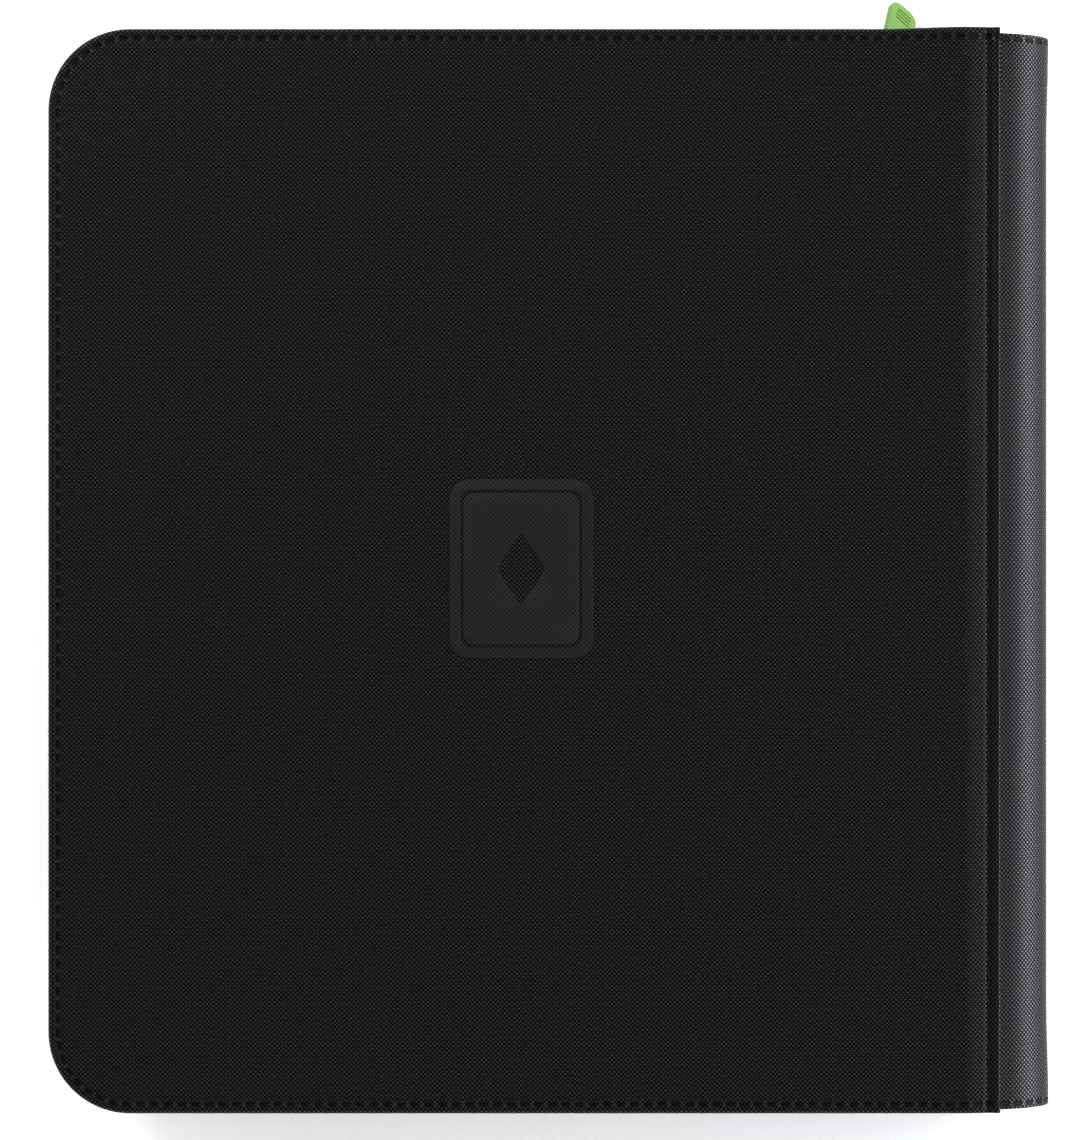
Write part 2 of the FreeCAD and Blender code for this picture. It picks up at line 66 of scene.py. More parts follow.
MM = 0.001
SIDES = ("front", "back")
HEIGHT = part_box("back_cover_skin")[1].z
MIDDLE = HEIGHT / 2
FORE_EDGE = -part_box("front_cover_skin")[0].x
HEM_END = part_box("front_cover_skin")[1].x
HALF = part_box("front_cover_skin")[1].y
BOARD_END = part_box("front_cover_board")[1].x
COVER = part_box("front_cover_lining")[1].z
TAPE_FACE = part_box("front_zip_tape")[1].y
COIL_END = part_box("front_zip_coil")[1].x
TAPE_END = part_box("front_zip_tape")[1].x
SPINE_LOW, SPINE_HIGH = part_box("spine_skin")
JOINTS = {joint["name"]: joint for joint in frame["joints"]}
CORNER = 26.5 * MM
CORNER_X = CORNER - FORE_EDGE
CORNER_Y = HALF - CORNER


# Sizes and colours -------------------------------------------------------------------------

def length(name, description, millimetres):
    """A length that a user may change, in metres."""
    return bpy.props.FloatProperty(name=name, description=description, subtype="DISTANCE",
                                   unit="LENGTH", default=millimetres * MM, precision=5)


def colour(name, description, red, green, blue):
    """A colour that a user may change."""
    return bpy.props.FloatVectorProperty(name=name, description=description, subtype="COLOR",
                                         size=3, min=0, max=1, default=(red, green, blue))


class BinderSizes(bpy.types.PropertyGroup):
    """Sizes of the binder's visible detail."""
    weave_pitch: length("Grain pitch", "Repeat of the embossed grain", 1.51)
    weave_depth: length("Grain depth", "Height of the embossed grain", 0.20)
    stitch_pitch: length("Stitch pitch", "Distance between stitches", 4.45)
    stitch_inset: length("Stitch inset", "Distance of the stitches from the edge", 3.1)
    spine_inset: length("Spine stitch inset", "Distance of the spine's stitches from its ends", 1.9)
    thread: length("Thread", "Thickness of the sewing thread", 0.42)
    edge_radius: length("Edge radius", "Rounding of the wrapped board's edge", 1.3)
    coil_pitch: length("Coil pitch", "Distance between turns of the zip's coil", 1.7)
    coil_wire: length("Coil wire", "Thickness of the coil's filament", 0.62)
    film_rise: length("Pocket rise", "How far a pocket stands off its leaf", 0.32)


class BinderColours(bpy.types.PropertyGroup):
    """Colours of the binder's materials."""
    skin: colour("Cover", "Coated cover cloth", 0.0007, 0.0007, 0.0008)
    # painted shade with wear: this grain colour makes the lattice tops lighter than the pits, standing
    # for shade in the pits as well as rubbed tops
    grain: colour("Grain", "Worn tops of the grain", 0.0112, 0.0112, 0.0120)
    thread: colour("Thread", "Sewing thread", 0.0025, 0.0025, 0.0028)
    lining: colour("Lining", "Cloth inside the covers", 0.018, 0.018, 0.020)
    tape: colour("Zip tape", "Woven tape", 0.012, 0.012, 0.013)
    coil: colour("Zip coil", "Nylon filament", 0.016, 0.016, 0.017)
    enamel: colour("Enamel", "Slider, bail and stops", 0.018, 0.018, 0.019)
    wire: colour("Wire", "Ring on the slider", 0.55, 0.56, 0.58)
    pull: colour("Pull", "Rubber pull tab", 0.089, 0.203, 0.0215)
    leaf: colour("Leaf", "Sheet between the pockets", 0.014, 0.014, 0.015)
    board: colour("Board", "Board inside the covers", 0.30, 0.27, 0.23)
    floor: colour("Floor", "Surface under the binder", 0.93, 0.93, 0.93)


def sizes():
    return bpy.context.scene.binder_sizes


def colours():
    return bpy.context.scene.binder_colours


# Shader maths ------------------------------------------------------------------------------

def feed(tree, item, socket):
    """Link a wire or a socket to a node's socket, or set that socket's own value."""
    source = item.socket if isinstance(item, Wire) else item
    if isinstance(source, bpy.types.NodeSocket):
        tree.links.new(source, socket)
    else:
        socket.default_value = source


def add_node(tree, kind, settings, inputs):
    """Add a node: its settings, then values or links for its sockets by name or _number."""
    made = tree.nodes.new(kind)
    for name, setting in (settings or {}).items():
        setattr(made, name, setting)
    for name, item in inputs.items():
        key = int(name[1:]) if name[0] == "_" else name.replace("_", " ")
        feed(tree, item, made.inputs[key])
    return made


class Wire:
    """A number inside a material: arithmetic on it adds Math nodes."""

    def __init__(self, finish, socket):
        self.finish = finish
        self.socket = socket

    def __add__(self, other):
        return self.finish.maths("ADD", self, other)

    def __sub__(self, other):
        return self.finish.maths("SUBTRACT", self, other)

    def __rsub__(self, other):
        return self.finish.maths("SUBTRACT", other, self)

    def __mul__(self, other):
        return self.finish.maths("MULTIPLY", self, other)

    def __truediv__(self, other):
        return self.finish.maths("DIVIDE", self, other)

    __radd__ = __add__
    __rmul__ = __mul__


class Finish:
    """A material under construction, with one Principled shader."""

    def __init__(self, name, **constants):
        self.material = bpy.data.materials.new(name)
        self.material.use_nodes = True
        self.tree = self.material.node_tree
        self.shader = self.tree.nodes["Principled BSDF"]
        for socket, number in constants.items():
            self.shader.inputs[socket.replace("_", " ")].default_value = number

    def node(self, kind, settings=None, output=0, **inputs):
        """Add a node and return one of its outputs."""
        return Wire(self, add_node(self.tree, kind, settings, inputs).outputs[output])

    def maths(self, operation, *items):
        """A Math node on one to three numbers."""
        keys = {f"_{i}": item for i, item in enumerate(items)}
        return self.node("ShaderNodeMath", {"operation": operation}, **keys)

    def between(self, item, low, high):
        """0 below low, 1 above high and a smooth step between."""
        return self.node("ShaderNodeMapRange", {"interpolation_type": "SMOOTHSTEP"},
                         Value=item, From_Min=low, From_Max=high)

    def mix(self, factor, first, second):
        """Blend of two colours."""
        return self.node("ShaderNodeMix", {"data_type": "RGBA"}, 2, _0=factor, _6=first, _7=second)

    def set(self, **inputs):
        """Feed the shader's own sockets."""
        for name, item in inputs.items():
            feed(self.tree, item, self.shader.inputs[name.replace("_", " ")])
        return self.material

    def uv(self, name):
        """The two coordinates of one of the piece's own UV maps, and both together."""
        where = self.node("ShaderNodeUVMap", {"uv_map": name})
        return *self.parts(where), where

    def parts(self, where):
        """The first two coordinates of a place."""
        split = add_node(self.tree, "ShaderNodeSeparateXYZ", None, {"Vector": where})
        return Wire(self, split.outputs[0]), Wire(self, split.outputs[1])

    def place(self):
        """Object coordinates."""
        return self.node("ShaderNodeTexCoord", output=3)

    def noise(self, where, scale, detail=3.0, roughness=0.55):
        """Smooth noise from 0 to 1."""
        return self.node("ShaderNodeTexNoise", Vector=where, Scale=scale, Detail=detail,
                         Roughness=roughness)

    def bump(self, height, distance, strength=1.0, normal=None):
        """A normal tipped by a height in metres times distance."""
        extra = {"Normal": normal} if normal else {}
        return self.node("ShaderNodeBump", Height=height, Distance=distance, Strength=strength,
                         **extra)


def rgba(three, gain=1.0):
    """A colour with its alpha, made lighter or darker."""
    return [min(1.0, part * gain) for part in three] + [1.0]


def wave(finish, item, pitch):
    """Cosine of a coordinate with a given repeat."""
    return finish.maths("COSINE", item * (2 * math.pi / pitch))


def skin_finish(name):
    """Coated cloth with a fine embossed lattice and soft cloudy sheen; painted shade darkens the
    lattice pits, the stitch dents and the pressed channel, the tops are also rubbed, and the cloth
    between stitches gets a painted highlight.
    """
    finish = Finish(name, Specular_IOR_Level=0.05, Coat_Roughness=0.36)
    across, along, where = finish.uv("weave")
    pitch = sizes().weave_pitch
    lattice = wave(finish, across, pitch) * wave(finish, along, pitch)
    tops = finish.between(lattice, 0.10, 0.85)
    pits = finish.between(lattice, -0.10, -0.85)
    cloud = finish.noise(where, 9.0, 4.0)
    rub = finish.noise(where, 900.0, 2.0)
    run, inset, _ = finish.uv("seam")
    # stitch masks: painted shade in each dent, painted highlight on the cloth between stitches
    hollow, stitch_gap_highlight = stitch_marks(finish, run, inset)
    # painted shade with rubbed wear: the lattice tops are lighter than its pits, the rub noise varies
    # the wear, and the cloth between stitches adds its painted highlight
    wear_and_painted_light = tops * (0.55 + 0.6 * rub) + 0.30 * stitch_gap_highlight
    height = tops - 0.45 * pits
    tone = finish.mix(wear_and_painted_light, rgba(colours().skin), rgba(colours().grain))
    rough = 0.42 - 0.08 * wear_and_painted_light + 0.10 * (cloud - 0.5)
    channel = finish.uv("hem")[0]
    # painted shade: the stitch dents are painted near black
    tone = finish.mix(hollow, tone, rgba(colours().skin, 0.12))
    # painted shade: the pressed channel by the hem is painted darker
    tone = finish.mix(0.35 * channel, tone, rgba(colours().skin, 0.6))
    height = height * (1 - 0.4 * channel) * (1 - hollow) - 2.2 * hollow
    rough = rough + 0.25 * channel + 0.2 * hollow
    grain = finish.bump(height, sizes().weave_depth, 0.85)
    swell = finish.bump(finish.noise(where, 28.0, 2.0), 0.35 * MM, 0.5, grain)
    return finish.set(Base_Color=tone, Roughness=rough, Normal=swell,
                      Coat_Weight=0.8 * wear_and_painted_light * (1 - hollow) * (1 - 0.6 * channel))


def stitch_marks(finish, run, inset):
    """Masks of the dent that each stitch pulls into the cloth, which is painted in shade, and of the
    cloth left between two, which gets a painted highlight.
    """
    half = sizes().stitch_pitch / 2
    phase = finish.maths("ABSOLUTE", finish.maths("FRACT", run / (2 * half) + 0.5) - 0.5) * (2 * half)
    off = finish.maths("ABSOLUTE", inset)
    long_dent = finish.between(phase, 1.55 * MM, 1.20 * MM) * finish.between(off, 0.95 * MM, 0.6 * MM)
    hole_along = finish.maths("ABSOLUTE", phase - 1.15 * MM)
    reach = finish.maths("SQRT", hole_along * hole_along + off * off)
    hole = finish.between(reach, 0.65 * MM, 0.35 * MM)
    between = (finish.between(phase, half - 0.55 * MM, half - 0.25 * MM)
               * finish.between(off, 0.95 * MM, 0.55 * MM))
    return finish.maths("MAXIMUM", hole, 0.9 * long_dent), between


def woven_finish(name, tone, pitch, depth):
    """Plain woven cloth seen on its own UV map."""
    finish = Finish(name, Specular_IOR_Level=0.35)
    across, along, where = finish.uv("weave")
    warp = wave(finish, across, pitch)
    weft = wave(finish, along, pitch)
    over = finish.between(warp * weft, -0.2, 0.2)
    height = over * (0.5 + 0.5 * warp) + (1 - over) * (0.5 + 0.5 * weft)
    fleck = finish.noise(where, 1500.0, 2.0)
    base = finish.mix(height * fleck, rgba(tone, 0.6), rgba(tone, 2.0))
    normal = finish.bump(height + 0.4 * fleck, depth)
    return finish.set(Base_Color=base, Roughness=0.9 - 0.15 * height, Normal=normal)


def plain_finish(name, tone, rough, scale, depth, contrast=0.35, **constants):
    """Moulded, cast or drawn surface with fine unevenness on Object coordinates."""
    finish = Finish(name, **constants)
    where = finish.place()
    fine = finish.noise(where, scale, 4.0)
    broad = finish.noise(where, scale / 12, 2.0)
    base = finish.mix(0.6 * fine + 0.4 * broad, rgba(tone, 1 - contrast), rgba(tone, 1 + contrast))
    return finish.set(Base_Color=base, Roughness=rough + 0.16 * (fine - 0.5),
                      Normal=finish.bump(fine, depth))


def film_finish(name):
    """Clear glossy film of the card pockets."""
    finish = Finish(name, IOR=1.45, Alpha=0.22, Specular_IOR_Level=0.6)
    ripple = finish.noise(finish.place(), 60.0, 3.0)
    return finish.set(Base_Color=(0.75, 0.76, 0.78, 1.0), Roughness=0.10 + 0.10 * ripple,
                      Normal=finish.bump(ripple, 0.4 * MM))


# Mesh helpers ------------------------------------------------------------------------------

def show(name, mesh, material=None):
    """An object at the origin for a mesh, with its material by name."""
    if material:
        mesh.materials.append(bpy.data.materials[material])
    piece = bpy.data.objects.new(name, mesh)
    bpy.context.collection.objects.link(piece)
    return piece


def show_work(name, work, material):
    """A smoothly shaded object from a finished bmesh."""
    mesh = bpy.data.meshes.new(name)
    work.to_mesh(mesh)
    work.free()
    mesh.shade_smooth()
    return outward(show(name, mesh, material))


def make_piece(name, points, faces, material, maps=None):
    """An object at the origin from points and faces; maps are UV maps by name, one pair a point."""
    mesh = bpy.data.meshes.new(name)
    mesh.from_pydata([tuple(p) for p in points], [], faces)
    for map_name, pairs in (maps or {}).items():
        layer = mesh.uv_layers.new(name=map_name)
        corner_points = [0] * len(mesh.loops)
        mesh.loops.foreach_get("vertex_index", corner_points)
        flat = [number for index in corner_points for number in pairs[index]]
        layer.data.foreach_set("uv", flat)
    mesh.shade_smooth()
    return show(name, mesh, material)


def outward(piece):
    """Turn every face outwards."""
    work = bmesh.new()
    work.from_mesh(piece.data)
    bmesh.ops.recalc_face_normals(work, faces=work.faces)
    work.to_mesh(piece.data)
    work.free()
    return piece


def strip(first, second, closed=False):
    """Quads between two rows of point numbers."""
    count = len(first)
    last = count if closed else count - 1
    return [(first[i], first[(i + 1) % count], second[(i + 1) % count], second[i])
            for i in range(last)]


def sweep(rows):
    """Points and faces of a closed tube through rows of points, all rows the same length."""
    points = [p for row in rows for p in row]
    size = len(rows[0])
    index = [[r * size + i for i in range(size)] for r in range(len(rows))]
    faces = []
    for before, after in zip(index, index[1:]):
        faces += strip(before, after, True)
    faces.append(tuple(reversed(index[0])))
    faces.append(tuple(index[-1]))
    return points, faces


def smooth_step(item, low, high):
    """Smooth rise from 0 at low to 1 at high."""
    share = max(0.0, min(1.0, (item - low) / (high - low)))
    return share * share * (3 - 2 * share)


def ride(piece, body, slot, *nodes):
    """Put a finished piece on its body and hide the CAD nodes that it stands for; slot is not used."""
    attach(piece, body)
    if nodes:
        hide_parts(*nodes)
    return piece


def dress(node, material):
    """Give a CAD node that stays in view its material."""
    mesh = frame["nodes"][node].data
    mesh.materials.clear()
    mesh.materials.append(bpy.data.materials[material])


# The cover's edge path ---------------------------------------------------------------------

TOP_STEPS, ARC_STEPS, SIDE_STEPS = 96, 28, 80
LIP_STEPS, HEM_STEPS = 8, 28
HEM_SEAM = 7.7  # from the board's end to the seam, in millimetres
UNSEWN = 9 * MM  # stands for any place too far from a seam to be marked by it


def stations(end):
    """Stations along X from the spine side to the corner, close together at the hem."""
    lead, far_start = 1.2 * MM, BOARD_END - 2 * MM
    lip_part = [end - lead * i / LIP_STEPS for i in range(LIP_STEPS)]
    hem_part = [end - lead + (far_start - end + lead) * i / HEM_STEPS for i in range(HEM_STEPS)]
    return lip_part + hem_part + [far_start + (CORNER_X - far_start) * i / TOP_STEPS
                                  for i in range(TOP_STEPS + 1)]


def edge_path(inset, xs):
    """Points round the three free sides at a distance in from the edge, spine side first."""
    radius = CORNER - inset
    top = [(x, HALF - inset) for x in xs]
    arc = []
    for i in range(1, ARC_STEPS + 1):
        angle = math.pi / 2 * (1 + i / ARC_STEPS)
        arc.append((CORNER_X + radius * math.cos(angle), CORNER_Y + radius * math.sin(angle)))
    side = [(-FORE_EDGE + inset, CORNER_Y * (1 - 2 * i / SIDE_STEPS)) for i in range(1, SIDE_STEPS)]
    half = top + arc
    return half + side + [(x, -y) for x, y in reversed(half)]


def run_lengths(path):
    """Distance along a path at each of its points."""
    runs = [0.0]
    for (ax, ay), (bx, by) in zip(path, path[1:]):
        runs.append(runs[-1] + math.hypot(bx - ax, by - ay))
    return runs


def dip(x):
    """How far the cover's face lies below its flat part: the bend, the seam and the hem."""
    mm = (x - BOARD_END) / MM
    if mm <= 0:
        return 0.0
    slope, ease = 0.29, 2.2
    bent = min(mm, HEM_SEAM - 0.4)
    bend = slope * (bent - ease * (1 - math.exp(-bent / ease)))
    groove = 0.42 * math.exp(-((mm - HEM_SEAM) / 0.55) ** 2)
    channel = 0.20 * smooth_step(mm, HEM_SEAM, HEM_SEAM + 0.9)
    crest = 0.45 * smooth_step(mm, 9.2, 10.5)
    return (bend + groove + channel - crest) * MM


def channel_shade_share(x):
    """How much painted shade the pressed channel gets: 1 at the seam and 0 on the hem's crest."""
    mm = (x - BOARD_END) / MM
    fading = 1 - 0.65 * smooth_step(mm, 8.2, 9.4)
    return smooth_step(mm, 6.6, 7.5) * fading * (1 - smooth_step(mm, 10.2, 11.0))


def lip(x, end):
    """Rounding of the hem's free edge."""
    radius = 0.8 * MM
    into = min(radius, max(0.0, x - (end - radius)))
    return radius - math.sqrt(radius ** 2 - (into * 0.98) ** 2)


def proud(x, y):
    """How far the cover's corner by the spine stands past its edge at the closing end."""
    return 0.8 * MM * smooth_step(x, 105 * MM, 136 * MM) * smooth_step(y, 0.85 * HALF, HALF)


class Plate:
    """A flat closed form round the cover's outline, built from rings and two filled faces."""

    def __init__(self, rings, xs, level, seam=0.0):
        self.points, self.faces = [], []
        self.maps = {"weave": [], "seam": [], "hem": []}
        self.level = level
        rows = [self.ring(xs, seam, *ring) for ring in rings]
        for before, after in zip(rows, rows[1:]):
            self.faces += strip(before, after)
        top = self.fill(rows[0], 0.0)
        bottom = self.fill(rows[-1], 1.0)
        self.faces += strip(bottom, top)
        self.faces.append(tuple(row[0] for row in reversed(rows)))
        self.faces.append(tuple(row[-1] for row in rows))

    def add(self, x, y, share, weave, seam):
        """One point, with its place on each UV map."""
        self.points.append((x, y + proud(x, y), self.level(x, share)))
        self.maps["weave"].append(weave)
        self.maps["seam"].append(seam)
        self.maps["hem"].append((channel_shade_share(x), 0.0))
        return len(self.points) - 1

    def ring(self, xs, seam, inset, share, flat, sink=0.0):
        """One ring of points; share is 0 on the face and 1 underneath."""
        runs = run_lengths(edge_path(seam, xs))
        aside = UNSEWN if share > 0.4 else inset - seam
        row = []
        for (x, y), weave, run in zip(edge_path(inset, xs), edge_path(flat, xs), runs):
            row.append(self.add(x, y, share, weave, (run, aside)))
            self.points[-1] = self.points[-1][:2] + (self.points[-1][2] - sink,)
        return row

    def fill(self, row, share):
        """Fill a ring with columns along Y; returns the column on the spine side."""
        half = (len(row) - SIDE_STEPS + 1) // 2
        columns = []
        for k in range(half - 1):
            x, y, _ = self.points[row[k]]
            y_low = self.points[row[-1 - k]][1]
            inner = []
            for i in range(1, SIDE_STEPS):
                at = y + (y_low - y) * i / SIDE_STEPS
                inner.append(self.add(x, at, share, (x, at), (0.0, UNSEWN)))
            columns.append([row[k]] + inner + [row[-1 - k]])
        columns.append(row[half - 1:half + SIDE_STEPS])
        for before, after in zip(columns, columns[1:]):
            self.faces += strip(after, before) if share < 0.5 else strip(before, after)
        return columns[0]


WRAP_END = HEM_END + 0.35 * MM
WRAP_DEPTH = COVER - 0.05 * MM


def cover_level(x, share):
    """Height of the cover's section over X: share 0 is its face and 1 its underside."""
    thick = max(1.05 * MM, WRAP_DEPTH - dip(x)) - 2 * lip(x, WRAP_END)
    return HEIGHT - dip(x) - lip(x, WRAP_END) - share * thick


def turned_edge(radius, depth):
    """Rings from the face round the board's edge to the underside."""
    rings = []
    for i in range(7):
        angle = math.pi / 2 * i / 6
        rings.append((radius * (1 - math.sin(angle)), radius * (1 - math.cos(angle)) / depth,
                      radius * (1 - angle)))
    under = 0.5 * MM
    wall = depth - radius - under
    unrolled = radius * (1 - math.pi / 2) - wall
    for i in range(5):
        angle = math.pi / 2 * i / 4
        rings.append((under * (1 - math.cos(angle)), (radius + wall + under * math.sin(angle)) / depth,
                      unrolled - under * angle))
    return rings


def turned(points):
    """Points of one cover moved to the other."""
    return [(x, y, HEIGHT - z) for x, y, z in points]


def turn_over(piece):
    """Turn a back-cover piece into the front cover's."""
    for vertex in piece.data.vertices:
        vertex.co.z = HEIGHT - vertex.co.z


def cover_piece(side):
    """The wrapped cover as one closed form: face, rounded edge, turned underside and hem."""
    xs = stations(WRAP_END)
    seam = sizes().stitch_inset
    rings = [(inset * MM, 0.0, inset * MM) for inset in (14.0, 8.0, 5.5, 4.6)]
    for gap, sink in ((0.9, 0.02), (0.5, 0.07), (0.0, 0.12), (-0.5, 0.07), (-0.9, 0.02)):
        inset = seam + gap * MM
        rings.append((inset, 0.0, inset, sink * MM))
    edge = turned_edge(sizes().edge_radius, WRAP_DEPTH)
    rings += edge
    rings += [(inset * MM, 1.0, edge[-1][2] - inset * MM) for inset in (2.5, 6.0, 14.0)]
    plate = Plate(rings, xs, cover_level, seam)
    piece = make_piece(f"{side}_cover_wrap", plate.points, plate.faces,
                       "embossed_skin", plate.maps)
    if side == "front":
        turn_over(piece)
    outward(piece)
    return ride(piece, f"{side}_cover", "cover_skin", f"{side}_cover_skin")


def lining_piece(side):
    """Cloth lining that lies a hair proud of the cover's inner face, its edge rolled under."""
    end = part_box("front_cover_lining")[1].x
    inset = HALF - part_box("front_cover_lining")[1].y
    top, bottom = HEIGHT - COVER + 0.25 * MM, HEIGHT - COVER - 0.10 * MM

    def level(x, share):
        return top + share * (bottom - top)

    inner, under = inset + 3.4 * MM, inset + 0.3 * MM
    rings = [(inner, 0.0, inner), (inset, 0.0, inset), (inset - 0.1 * MM, 0.5, inset),
             (inset + 0.05 * MM, 0.85, inset), (under, 1.0, under), (inner, 1.0, inner)]
    plate = Plate(rings, stations(end), level)
    piece = make_piece(f"{side}_lining", plate.points, plate.faces,
                       "lining_cloth", plate.maps)
    if side == "front":
        turn_over(piece)
    outward(piece)
    ride(piece, f"{side}_cover", "lining", f"{side}_cover_lining")
    return piece


# Spine -------------------------------------------------------------------------------------

BOW_SLOPE = math.radians(19.3)
BOW_EASE = 3.0 * MM
BOW_SOFT = 24.0 * MM
BOW_TIGHT = 12.5 * MM
SPINE_WALL = 0.8 * MM


def bow_line(steps=18):
    """Inner line of the bowed spine with its outward normals: (x, z, nx, nz) from low to high."""
    start, low = SPINE_LOW.x, SPINE_LOW.z + SPINE_WALL * math.cos(BOW_SLOPE)
    lead_x, lead_z = start + BOW_EASE * math.cos(BOW_SLOPE), low + BOW_EASE * math.sin(BOW_SLOPE)
    centre_x = lead_x - BOW_SOFT * math.sin(BOW_SLOPE)
    centre_z = lead_z + BOW_SOFT * math.cos(BOW_SLOPE)
    meet = math.asin((MIDDLE - centre_z) / (BOW_SOFT - BOW_TIGHT))
    nose_x = centre_x + (BOW_SOFT - BOW_TIGHT) * math.cos(meet)
    first = BOW_SLOPE - math.pi / 2
    sine, cosine = math.sin(BOW_SLOPE), math.cos(BOW_SLOPE)
    line = [(start + BOW_EASE * s * cosine, low + BOW_EASE * s * sine, sine, -cosine)
            for s in (-0.42, 0.0, 0.33, 0.66)]
    for i in range(steps + 1):
        angle = first + (meet - first) * i / steps
        line.append((centre_x + BOW_SOFT * math.cos(angle), centre_z + BOW_SOFT * math.sin(angle),
                     math.cos(angle), math.sin(angle)))
    for i in range(1, steps + 1):
        angle = meet - meet * i / steps
        line.append((nose_x + BOW_TIGHT * math.cos(angle), MIDDLE + BOW_TIGHT * math.sin(angle),
                     math.cos(angle), math.sin(angle)))
    return line + [(x, 2 * MIDDLE - z, nx, -nz) for x, z, nx, nz in reversed(line[:-1])]


def spine_flare(y):
    """The spine stands a little wider at its two ends."""
    return 0.7 * MM * smooth_step(abs(y), 0.80 * SPINE_HIGH.y, SPINE_HIGH.y)


def spine_point(station, y, out):
    """A point of the spine's section at Y, a distance out from its inner line."""
    x, z, nx, nz = station
    belly = max(0.0, nx)
    return (x + nx * out + spine_flare(y) * belly ** 2, y, z + nz * out)


def spine_piece():
    """Bowed spine sheet with turned ends, laid under both hems."""
    line = bow_line()
    half = SPINE_HIGH.y
    inset = sizes().spine_inset
    marks = [0.0, 0.12, 0.4, 0.9, inset / MM - 0.5, inset / MM, inset / MM + 0.5, 3.4, 5.0]
    ends = [mark * MM for mark in marks]
    middle = [half - 8 * MM - (2 * half - 16 * MM) * i / 70 for i in range(71)]
    ys = [half - end for end in ends] + middle + [end - half for end in reversed(ends)]
    arc = [0.0]
    for a, b in zip(line, line[1:]):
        arc.append(arc[-1] + math.hypot(b[0] - a[0], b[1] - a[1]))
    rows, weave, seams, hems = [], [], [], []
    for y in ys:
        edge = half - abs(y)
        thin = 0.5 * SPINE_WALL * (1 - math.sqrt(max(0.0, 1 - max(0.0, 1 - edge / (0.4 * MM)) ** 2)))
        sink = 0.14 * MM * math.exp(-((edge - inset) / (0.45 * MM)) ** 2)
        outer = [spine_point(s, y, SPINE_WALL - thin - sink) for s in line]
        inner = [spine_point(s, y, thin) for s in reversed(line)]
        rows.append(outer + inner)
        both = arc + arc[::-1]
        weave += [(SPINE_LOW.x + run, y) for run in both]
        seams += [(run, edge - inset) for run in arc] + [(run, UNSEWN) for run in reversed(arc)]
        hems += [(0.0, 0.0)] * len(both)
    points, faces = sweep(rows)
    maps = {"weave": weave, "seam": seams, "hem": hems}
    piece = make_piece("spine_bow", points, faces, "embossed_skin", maps)
    outward(piece)
    ride(piece, "spine", "cover_skin", "spine_skin")
    flatten(piece)


def flatten(piece):
    """Give the spine piece its own copy of its mesh."""
    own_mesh(piece)


def spine_lining_piece():
    """Cloth strip inside the spine, a little hollow between its two long edges."""
    low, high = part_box("spine_lining")
    rows, weave = [], []
    count, across = 60, 16
    for i in range(count + 1):
        y = low.y + (high.y - low.y) * i / count
        zs = [low.z + (high.z - low.z) * j / across for j in range(across + 1)]
        face = [(low.x + 0.12 * MM * math.sin(math.pi * j / across) ** 2, y, z)
                for j, z in enumerate(zs)]
        back = [(high.x, y, z) for z in reversed(zs)]
        rows.append(face + back)
        weave += [(y, z) for z in zs] + [(y, z) for z in reversed(zs)]
    points, faces = sweep(rows)
    piece = make_piece("spine_inner_cloth", points, faces, "lining_cloth",
                       {"weave": weave})
    outward(piece)
    ride(piece, "spine", "lining", "spine_lining")


# Node trees --------------------------------------------------------------------------------

class Grower:
    """A Geometry Nodes tree under construction, with named inputs."""

    def __init__(self, name, **inputs):
        self.tree = bpy.data.node_groups.new(name, "GeometryNodeTree")
        face = self.tree.interface
        face.new_socket("Geometry", in_out="INPUT", socket_type="NodeSocketGeometry")
        self.keys = {}
        for title, kind in inputs.items():
            made = face.new_socket(title.replace("_", " "), in_out="INPUT", socket_type=kind)
            self.keys[title] = made.identifier
        face.new_socket("Geometry", in_out="OUTPUT", socket_type="NodeSocketGeometry")
        self.start = self.tree.nodes.new("NodeGroupInput")
        self.end = self.tree.nodes.new("NodeGroupOutput")

    def given(self, title):
        """One of the tree's inputs."""
        return self.start.outputs[title.replace("_", " ")]

    def node(self, kind, settings=None, output=0, **inputs):
        """Add a node and return one of its outputs."""
        return add_node(self.tree, kind, settings, inputs).outputs[output]

    def spaced_line(self):
        """The given line as a curve with a point at every pitch."""
        line = self.node("GeometryNodeMeshToCurve", _0=self.given("Geometry"))
        return self.node("GeometryNodeResampleCurve", {"mode": "LENGTH"}, Curve=line,
                         Length=self.given("Pitch"))

    def finish(self, points, shape, turn):
        """Lay the shape on every point and end the tree in real, finished geometry."""
        laid = self.node("GeometryNodeInstanceOnPoints", Points=points, Instance=shape, Rotation=turn)
        real = self.node("GeometryNodeRealizeInstances", _0=laid)
        painted = self.node("GeometryNodeSetMaterial", Geometry=real, Material=self.given("Material"))
        self.tree.links.new(painted, self.end.inputs[0])
        return self

    def grow(self, name, paths, material, **values):
        """Run the tree along one or more lines of points and return the plain piece."""
        mesh = bpy.data.meshes.new(name + "_line")
        points, edges = [], []
        for path in paths:
            base = len(points)
            points += [tuple(p) for p in path]
            edges += [(base + i, base + i + 1) for i in range(len(path) - 1)]
        mesh.from_pydata(points, edges, [])
        carrier = bpy.data.objects.new(name + "_line", mesh)
        bpy.context.collection.objects.link(carrier)
        modifier = carrier.modifiers.new(name, "NODES")
        modifier.node_group = self.tree
        modifier[self.keys["Material"]] = bpy.data.materials[material]
        for title, setting in values.items():
            modifier[self.keys[title]] = setting
        graph = bpy.context.evaluated_depsgraph_get()
        made = bpy.data.meshes.new_from_object(carrier.evaluated_get(graph))
        made.name = name
        made.shade_smooth()
        carrier.modifiers.remove(modifier)
        bpy.data.objects.remove(carrier)
        return show(name, made)


